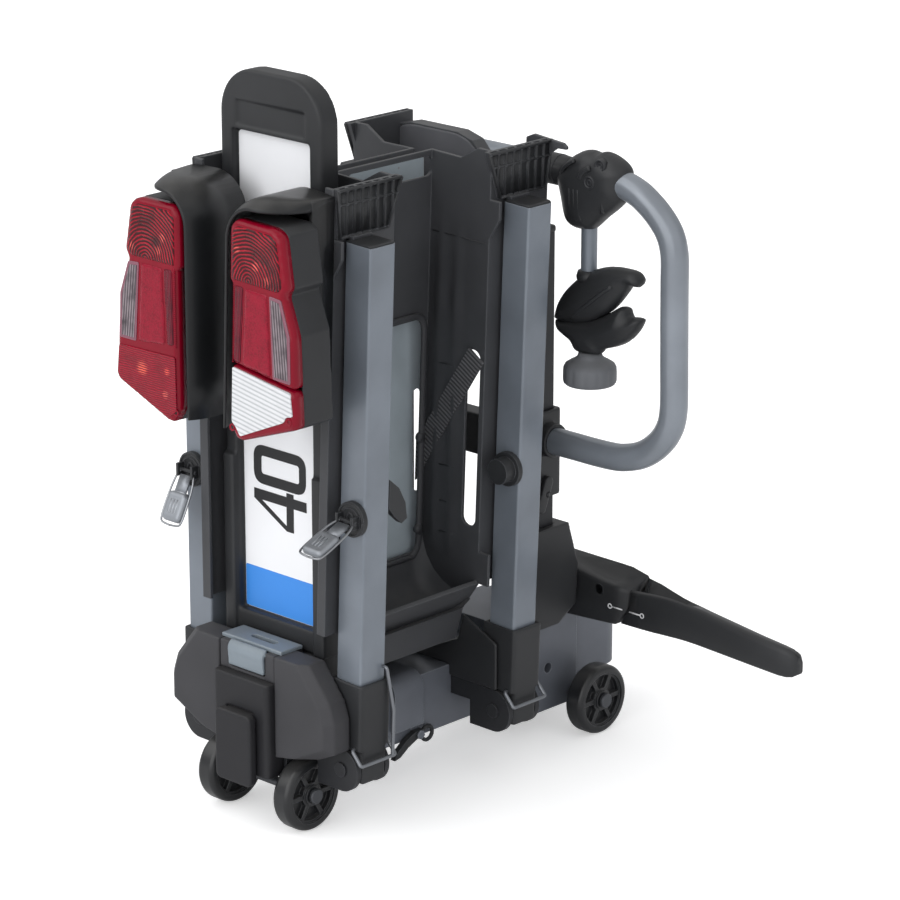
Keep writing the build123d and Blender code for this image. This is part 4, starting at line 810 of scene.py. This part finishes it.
def bowl_pieces(side):
    """The bowl of a wing's tray and the bead and clips of its window."""
    bowl = bmesh.new()
    add_sheet(bowl, bowl_point, bowl_profile, evenly(bowl_start, bowl_end, bowl_columns))
    on_wing(side, "tray_bowl", tray_moulding, bowl)

    rim = bmesh.new()
    add_rod(rim, [(4.6, y, z) for y, z in window_corners + window_corners[:1]], 4.2, squash=0.6)
    for y, z in ((8.5, 374), (9.0, 268)):
        add_rod(rim, [(4.0, y - 3.0, z), (9.0, y - 3.0, z)], 5.2, sides=16)
        add_rod(rim, [(4.0, y + 1.0, z - 4.0), (7.4, y + 1.0, z - 4.0)], 4.0, sides=14)
    on_wing(side, "window_rim", tray_moulding, rim)


# Wall channels and seams of the trays.
# The tray's end wall has two soft upright channels that stiffen it, and thin raised seams across it
# where the tool's inserts met.

wall_low, wall_high, wall_near, wall_far = 244, 640, 6, 60
wall_y, channel_depth = 14.45, 2.4
wall_rows, wall_columns = 48, 28


def wall_point(z, x):
    """A place on the end wall: two soft channels, uneven along their length and flush at every edge."""
    ends = min(1.0, (z - wall_low) / 36, (wall_high - z) / 60)
    uneven = 1.0 + 0.5 * math.sin(z / 31.0) * math.sin(z / 13.0 + 1.0)
    swell = math.exp(-((x - 22) / 7.5) ** 2) + 0.85 * math.exp(-((x - 46) / 7.0) ** 2)
    flush = min(1.0, (x - wall_near) / 5, (wall_far - x) / 5)
    return x, wall_y - channel_depth * swell * ends * uneven * flush, z


def wall_pieces(side):
    """The channels and the seams on the end wall of a wing's tray."""
    channels = bmesh.new()
    add_sheet(channels, wall_point, evenly(wall_low, wall_high, wall_rows),
              evenly(wall_near, wall_far, wall_columns))
    on_wing(side, "wall_channels", tray_moulding, channels)

    seams = bmesh.new()
    for y, z, start, end in ((14.1, 605, 8, 84), (13.6, 461, 24, 44), (13.6, 347, 28, 50),
                             (13.6, 306, 30, 50), (13.6, 271, 30, 52)):
        add_rod(seams, [(start, y, z), (end, y, z + 1.5)], 0.7, sides=6)
    on_wing(side, "wall_seams", black_coat, seams)


for side in wing_place:
    comb_pieces(side)
    bowl_pieces(side)
    wall_pieces(side)


# Dome face and rivets of the left tray.
# The left tray ends in a dome with a flat face towards the lamps, painted paler as painted light for a
# face that bulges into the light. Its grey sheet is held to the tray by three bright rivets.

dome_outline = [(88, 642), (88, 692), (70, 697), (0, 697), (-20, 691), (-34, 676), (-38, 654), (-38, 642)]
# A paler copy of the tray moulding: painted light on the dome's face.
dome_painted_light = surface_finish("dome_painted_light", (92, 93, 97), (112, 113, 117), 0.42, 0.0008, 0.00003,
                               edge_radius=0.003, specular=0.34)
dome_near, dome_far = 82.3, 83.4
dome_face = bmesh.new()
add_slab(dome_face, rounded(dome_outline, 12), dome_near, dome_far)
on_wing("left", "dome_face", dome_painted_light, dome_face, smooth=False)

rivets = bmesh.new()
for y, z in ((-8, 675), (-80, 675), (20, 640)):
    add_turned(rivets, (-0.4, y, z), [(3.6, -0.2), (3.4, 0.7), (2.2, 1.3), (0.6, 1.5)], axis="X", sides=20)
blank("sheet_rivets", bright_zinc, "wing_left", rivets)


# Strap.
# A ribbed rubber strap with a loose end, which holds the bicycle's wheel in the right tray. Its ribs
# run across it and are what the ratchet's teeth pull on.

# Light patches: soft clouds in which a lens or a rubber skin is lighter or darker than around them.
light, light_in, light_out = node_group(
    "light_patches",
    [("Scale", "Float", 60.0), ("Speckle", "Float", 0.0)],
    [("Clouds", "Float"), ("Strength", "Float")],
)
place = add_node(light, "TexCoord", {})
clouds = add_node(light, "TexNoise", {"Vector": place.outputs["Object"], "Scale": light_in.outputs["Scale"],
                                      "Detail": 5.0})
weaker = maths(light, "SUBTRACT", 1.0, light_in.outputs["Speckle"])
stronger = maths(light, "ADD", 1.0, light_in.outputs["Speckle"])
broken = add_node(light, "MapRange", {"Value": clouds, "From Min": 0.25, "From Max": 0.7,
                                      "To Min": weaker, "To Max": stronger})
feed(light, light_out, {"Clouds": clouds, "Strength": broken})

# Moulded ribs: a wave over a distance, bent a little by the clouds and sharpened towards its crests.
ribs, ribs_in, ribs_out = node_group(
    "moulded_ribs",
    [("Distance", "Float", 0.0), ("Clouds", "Float", 0.5),
     ("Wander", "Float", 0.0), ("Turns", "Float", 1000.0),
     ("Sharpness", "Float", 1.0)],
    [("Crest", "Float")],
)
bent = maths(ribs, "MULTIPLY_ADD", ribs_in.outputs["Clouds"], ribs_in.outputs["Wander"],
             ribs_in.outputs["Distance"])
turns = maths(ribs, "MULTIPLY", bent, ribs_in.outputs["Turns"])
wave = maths(ribs, "SINE", turns)
crest = add_node(ribs, "MapRange", {"Value": wave, "From Min": -1.0, "From Max": 1.0})
sharper = maths(ribs, "POWER", crest, ribs_in.outputs["Sharpness"])
feed(ribs, ribs_out, {"Crest": sharper})

# Ring distance: how far a place is from a centre in the plane of a lens, for rings round a bulb.
rings, rings_in, rings_out = node_group(
    "ring_distance",
    [("Centre", "Vector", None)],
    [("Distance", "Float")],
)
place = add_node(rings, "TexCoord", {})
shifted = maths(rings, "SUBTRACT", place.outputs["Object"], rings_in.outputs["Centre"], kind="VectorMath")
flat = maths(rings, "MULTIPLY", shifted, (1, 0, 1), kind="VectorMath")
measure = maths(rings, "LENGTH", flat, kind="VectorMath")
feed(rings, rings_out, {"Distance": measure.outputs["Value"]})

# Painted glint: a soft round mask about a place, broken by the lens pattern, that paints a highlight of the
# reflector.
glint_group, glint_in, glint_out = node_group(
    "painted_glint",
    [("Place", "Vector", None), ("Radius", "Float", 0.006),
     ("Pattern", "Float", 1.0)],
    [("Glint", "Float")],
)
place = add_node(glint_group, "TexCoord", {})
away = maths(glint_group, "DISTANCE", place.outputs["Object"], glint_in.outputs["Place"], kind="VectorMath")
core = maths(glint_group, "MULTIPLY", glint_in.outputs["Radius"], 0.15)
near = add_node(glint_group, "MapRange", {"Value": away.outputs["Value"], "From Min": glint_in.outputs["Radius"],
                                   "From Max": core}, interpolation_type="SMOOTHERSTEP")
lit = maths(glint_group, "MULTIPLY", near, glint_in.outputs["Pattern"])
feed(glint_group, glint_out, {"Glint": lit})


def patterned_skin(name, dark, bright, pitch, centre=None, along=None, sharpness=1.0, relief_depth=0.0004,
                   roughness=0.25, coat=0.12, specular=0.22, painted_glints=(), speckle=0.0, wander=0.0,
                   patch_size=1 / 60):
    """A skin with rings round a centre, ribs along a direction, or else fine cells, with painted shade in the
    valleys.
    """
    material, tree, skin = new_material(name)
    spot = add_node(tree, "TexCoord", {})
    patchy = add_node(tree, "Group", {"Scale": 1 / patch_size, "Speckle": speckle}, node_tree=light)
    if centre or along:
        if centre:
            distance = add_node(tree, "Group", {"Centre": centre}, node_tree=rings)
        else:
            measure = maths(tree, "DOT_PRODUCT", spot.outputs["Object"], along, kind="VectorMath")
            distance = measure.outputs["Value"]
        crest = add_node(tree, "Group", {"Distance": distance, "Clouds": patchy.outputs["Clouds"],
                                         "Wander": wander, "Turns": 2 * math.pi / pitch,
                                         "Sharpness": sharpness}, node_tree=ribs)
    else:
        crest = add_node(tree, "TexVoronoi", {"Vector": spot.outputs["Object"], "Scale": 1 / pitch})
    # The colour runs from dark in the relief's valleys to bright on its crests: painted shade and painted
    # highlight.
    uneven = maths(tree, "MULTIPLY", crest, patchy.outputs["Strength"])
    colour = add_node(tree, "Mix", {"Factor": uneven, "A": srgb(*dark), "B": srgb(*bright)},
                      data_type="RGBA")
    # Painted glints: pale pink highlights painted about given places on the lens.
    for place, radius, tint in painted_glints:
        glint = add_node(tree, "Group", {"Place": place, "Radius": radius, "Pattern": uneven}, node_tree=glint_group)
        colour = add_node(tree, "Mix", {"Factor": glint, "A": colour.outputs["Result"],
                                        "B": srgb(*tint)}, data_type="RGBA")
    relief = add_node(tree, "Bump", {"Strength": 0.7, "Distance": relief_depth, "Height": crest})
    feed(tree, skin, {"Base Color": colour.outputs["Result"], "Roughness": roughness, "Coat Weight": coat,
                      "Coat Roughness": 0.06, "Specular IOR Level": specular,
                      "Normal": relief})
    return material


strap_ribs = patterned_skin("strap_ribs", (58, 58, 60), (104, 104, 107), 0.0044, along=(-0.517, 0.0, -0.856),
                            relief_depth=0.0008, roughness=0.6, coat=0.0, specular=0.25, speckle=0.1)
dress(strap_ribs, "strap_right")


# Ratchets and their grips.
# A black ratchet on the outer face of each rear tube pulls the strap. Its zinc grip is a pressed shell
# with three ribs and a narrow tongue, in a loop of thin bent wire that hangs from the ratchet's pin.

dress(black_moulding, "ratchets_right", "ratchets_left")
grip_zinc = surface_finish("grip_zinc", (150, 154, 160), (190, 193, 198), 0.4, 0.0012, 0.00005,
                           edge_radius=0.0015, metallic=0.55, specular=0.4)
ratchet_x, ratchet_z, ratchet_face, grip_pin_y = 115, 361, -208.2, -213
half_loop = ((9.5, 0.0, 1), (13.5, 0.2, 9), (15.6, 0.4, 22), (16.2, 0.4, 42), (15.6, 0.4, 54),
             (12.5, 0.4, 59.5), (0.0, 0.4, 61.0))
for side, fall in (("right", 24), ("left", 63)):
    drop = math.radians(fall)
    grip_frame = Matrix(((1, 0, 0, ratchet_x / 1000),
                         (0, math.sin(drop), -math.cos(drop), grip_pin_y / 1000),
                         (0, -math.cos(drop), -math.sin(drop), ratchet_z / 1000), (0, 0, 0, 1)))
    grip = bmesh.new()
    add_pillow(grip, rounded(box_outline(-14.5, 14.5, 24, 57), 7, steps=5), 1.4,
               lambda gap: 0.5 - 4.6 * crown(5.0, gap), lambda gap: 2.4)
    add_slab(grip, box_outline(-8, 8, 5, 27), -0.6, 1.8)
    for x in (-4.5, 0.0, 4.5):
        add_rod(grip, [(x, -4.1, 33), (x, -4.1, 48)], 0.8, sides=8)
    wires = bmesh.new()
    for edge in (-1, 1):
        add_rod(wires, eased([(edge * x, depth, reach) for x, depth, reach in half_loop], 3), 1.15, sides=8)
    for shape in (grip, wires):
        shape.transform(wing_place[side] @ grip_frame)
    grip_node = "ratchet_grip_" + side
    shell = blank(grip_node + "_shell", grip_zinc, grip_node, grip)
    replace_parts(shell, grip_node)
    blank("grip_wires_" + side, bright_zinc, grip_node, wires)

for side in wing_place:
    beads = bmesh.new()
    add_rod(beads, ring_round(ratchet_x, ratchet_face, ratchet_z, 17.2, 32), 1.2, sides=8)
    add_rod(beads, ring_round(ratchet_x, ratchet_face, ratchet_z, 12.6, 32), 0.9, sides=8)
    add_rod(beads, ring_round(ratchet_x, ratchet_face - 0.2, ratchet_z, 4.2, 24, height=7.5), 1.3, sides=8)
    on_wing(side, "ratchet_rings", black_moulding, beads)


# Tail lamps.
# A red shell with rounded edges is clipped over each black housing. The left one is whole; the right
# one is parted above the reversing lens, which has a red rim of its own.

red_shell = surface_finish("red_shell", (128, 3, 30), (176, 16, 52), 0.2, 0.004, 0.00005,
                           edge_radius=0.0015, specular=0.2, coat=0.1, dustiness=0.0)
shell_back, shell_side, shell_round = -287.0, -294.8, 5.0
shell_rim = [(31, 462), (31, 528.6), (123, 519.8), (126, 483), (122, 479), (46, 449), (40, 450)]
upper_rim = [(31, 529.4), (31, 612), (26.6, 616), (26.6, 672), (34, 680), (88, 680), (99, 674), (109, 622),
             (103, 614), (119, 575), (123, 520.6)]
whole_rim = shell_rim[:1] + upper_rim[1:-1] + shell_rim[3:]
for side, name, rim, node in (("left", "lamp_shell", whole_rim, "lamp_lens_left"),
                              ("right", "lamp_shell", upper_rim, "lamp_lens_right"),
                              ("right", "lower_shell", shell_rim, "reversing_lens_right")):
    shell = bmesh.new()
    add_pillow(shell, rounded(rim, 7, steps=4), 2.4,
               lambda gap: shell_side - shell_round * crown(shell_round, gap), lambda gap: shell_back)
    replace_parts(on_wing(side, name, red_shell, shell), node)

for side in wing_place:
    softened("lamp_housing_" + side, black_moulding, 0.0012, 5)


# Lamp hoods.
# A black sheet moulding rises beside each lamp, bends over it and ends in a rounded tip, with its front
# edge turned in. An arm and a rib at the back close it down to the housing.

hood_moulding = surface_finish("hood_moulding", (25, 26, 28), (60, 61, 64), 0.34, 0.0007, 0.00003,
                               edge_radius=0.002, specular=0.36)
hood_front, hood_back, hood_thickness = -297.0, -217.0, 3.6
bend_x, bend_z, bend_reach, bend_rise = 54, 656, 44, 46
top_droop = 0.0012
tip_start, tip_length, tip_depth = 52, 40, 57.0
lip_depth, lip_length = 8.0, 28.0
hood_line = [(10, z) for z in (456, 500, 560, 620, 655)]
hood_line += [(bend_x - bend_reach * math.cos(turn * math.pi / 24),
               bend_z + bend_rise * math.sin(turn * math.pi / 24)) for turn in range(1, 12)]
hood_line += [(x, bend_z + bend_rise - (x - bend_x) ** 2 * top_droop)
              for x in (54, 59, 64, 69, 74, 79, 83, 86, 88.5, 90.5, 91.6)]
for side in wing_place:
    sections = []
    for k, (x, z) in enumerate(hood_line):
        ahead, behind = Vector(hood_line[min(k + 1, len(hood_line) - 1)]), Vector(hood_line[max(k - 1, 0)])
        along = (ahead - behind).normalized()
        front = hood_front
        if x >= tip_start:
            front += tip_depth * (1 - math.sqrt(max(0.0, 1 - ((x - tip_start) / tip_length) ** 2)))
        outside, inside = [], []
        for back in (0.0, 1.2, 3.0, 6.0, 10.0, 15.0, 21.0, 27.0):
            turned_in = lip_depth * max(0.0, 1 - back / lip_length) ** 2.2
            thickness = 2.2 if back == 0 else hood_thickness
            for row, depth in ((outside, turned_in), (inside, turned_in + thickness)):
                row.append((x + along.y * depth, front + back, z - along.x * depth))
        for row, depth in ((outside, 0.0), (inside, hood_thickness)):
            row.append((x + along.y * depth, hood_back, z - along.x * depth))
        sections.append(outside + inside[::-1])
    hood = bmesh.new()
    add_loft(hood, sections)
    add_slab(hood, box_outline(86, 92, 470, 699), -247, hood_back)
    add_slab(hood, [(13, 640), (20, 672), (34, 690), (52, 697.5), (91, 697.5), (91, 645), (30, 645)],
             -225, -218)
    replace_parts(on_wing(side, "lamp_hood_shell", hood_moulding, hood), "lamp_hood_" + side)


# Lens optics.
# The lens is moulded with optics in zones: rings above, a flat reflex field of fine cells with ribs
# beside it, a column of small prisms along the inner edge and a clear side strip in a pink border.

lens_back, lens_face, border_face = -299.3, -300.95, -300.6
zone_foot, zone_crown = -299.2, 1.75
prism_count, prism_start, prism_pitch = 48, 531, 2.0
# Ring centres, and the places of the painted glints on the ring zones.
ring_centres_and_glints = {
    "right": ((0.056, 0, 0.620), ((0.038, -0.301, 0.650), (0.066, -0.301, 0.638), (0.083, -0.301, 0.626))),
    "left": ((0.075, 0, 0.618), ((0.095, -0.301, 0.628), (0.049, -0.301, 0.644), (0.056, -0.301, 0.630))),
}
for side, (ring_middle, spots) in ring_centres_and_glints.items():
    painted_glints = [(wing_place[side] @ Vector(spot), 0.007, (255, 104, 96)) for spot in spots]
    ring_look = patterned_skin("ring_optics_" + side, (56, 0, 10), (176, 7, 38), 0.0038,
                               centre=wing_place[side] @ Vector(ring_middle), sharpness=3.0,
                               relief_depth=0.0014, wander=0.006, patch_size=0.018, painted_glints=painted_glints, speckle=1.0)
    rib_look = patterned_skin("rib_optics_" + side, (60, 2, 18), (122, 8, 38), 0.0021, along=(1, 0, 0.02),
                              speckle=0.7)
    cell_look = patterned_skin("reflex_optics_" + side, (154, 5, 42), (122, 2, 30), 0.0016,
                               relief_depth=0.0003, speckle=0.5)
    for zone, look, outline in (
        ("ring_zone", ring_look, [(31, 617), (31, 668), (38.5, 675), (86, 675), (95, 669.5), (104, 624),
                                  (98, 617)]),
        ("rib_zone", rib_look, [(35, 532), (35.5, 613), (49, 613), (46, 531)]),
        ("reflex_zone", cell_look, [(47.5, 531), (50.5, 613), (83, 613), (90, 527)]),
    ):
        panel = bmesh.new()
        add_pillow(panel, rounded(outline, 4, steps=3), 2.0,
                   lambda gap: zone_foot - zone_crown * crown(3.0, gap), lambda gap: zone_foot)
        on_wing(side, zone, look, panel)

    prisms = bmesh.new()
    for k in range(prism_count):
        z = prism_start + prism_pitch * k
        add_rod(prisms, [(32.4, -298.7, z), (34.9, -299.9, z + 0.3)], 0.62, sides=6)
    on_wing(side, "prism_line", red_shell, prisms)

    border = bmesh.new()
    add_slab(border, rounded([(86, 612), (102, 611), (115.5, 575), (118, 527), (93, 527)], 2, steps=3),
             border_face, lens_back)
    border_look = surface_finish("strip_border_" + side, (128, 80, 94), (172, 130, 142), 0.2, 0.002, 0.00002,
                                 edge_radius=0.0008, coat=0.3, dustiness=0.02)
    on_wing(side, "side_strip_frame", border_look, border, smooth=False)

    strip = bmesh.new()
    add_slab(strip, [(88.5, 608.5), (100, 607.5), (112, 574), (114.5, 530), (95.5, 530)],
             lens_face, lens_back)
    strip_look = patterned_skin("side_strip_" + side, (62, 55, 60), (142, 130, 136), 0.0036,
                                along=wing_place[side].to_3x3() @ Vector((0.99, 0, 0.12)),
                                relief_depth=0.0008, speckle=0.9)
    on_wing(side, "side_strip", strip_look, strip, smooth=False)


# Lower lenses and their screws.
# The left lamp ends in a red field of fine lines with painted glints on it; the right one in a
# clear ribbed reversing lens. Each is held by two screws sunk in round bosses at its corners.

lower_zone = bmesh.new()
add_slab(lower_zone, rounded([(33, 463), (33.5, 521), (119, 519), (122.5, 487), (118, 482), (46, 454)], 3,
                             steps=3), lens_face, lens_back)
# Places of the painted glints on the lower lens.
lower_glints = [(left_mirror @ Vector(place), radius, tint) for place, radius, tint in (
    ((0.084, -0.301, 0.500), 0.011, (255, 108, 88)), ((0.046, -0.301, 0.503), 0.006, (255, 96, 84)),
    ((0.049, -0.301, 0.478), 0.006, (255, 120, 110)))]
lower_look = patterned_skin("lower_optics", (112, 3, 26), (168, 8, 42), 0.0024, along=(0, 0, 1),
                            relief_depth=0.0009, wander=0.004, patch_size=0.014, sharpness=1.8,
                            painted_glints=lower_glints, speckle=0.7)
on_wing("left", "lower_optics", lower_look, lower_zone, smooth=False)

reversing = bmesh.new()
add_slab(reversing, rounded([(34.5, 468), (34.5, 526), (118, 518), (121.5, 494), (113, 492), (109, 485),
                             (47, 455), (40, 464)], 2, steps=3), lens_face, lens_back)
reversing_look = patterned_skin("reversing_ribs", (170, 174, 177), (222, 223, 226), 0.0047,
                                along=right_lean.to_3x3() @ Vector((0.12, 0, 0.99)), sharpness=0.3,
                                relief_depth=0.0009, speckle=0.1)
on_wing("right", "reversing_ribs", reversing_look, reversing, smooth=False)

boss_profile = [(3.9, 1.5), (3.9, -0.3), (3.2, -0.75), (2.4, -0.4), (2.2, 1.0)]
screw_profile = [(2.1, 1.2), (2.0, 0.4), (1.2, 0.1), (0.9, 0.7)]
for side in wing_place:
    for name, material, slot_name, y, profile, sides in (
        ("lens_bosses", red_shell, "red_lens_plastic", -300.2, boss_profile, 24),
        ("lens_screws", black_coat, "black_plastic", -300.0, screw_profile, 20),
    ):
        fixings = bmesh.new()
        for x, z in ((34.6, 461.5), (116.5, 487.5)):
            add_turned(fixings, (x, y, z), profile, axis="Y", sides=sides)
        on_wing(side, name, material, fixings)
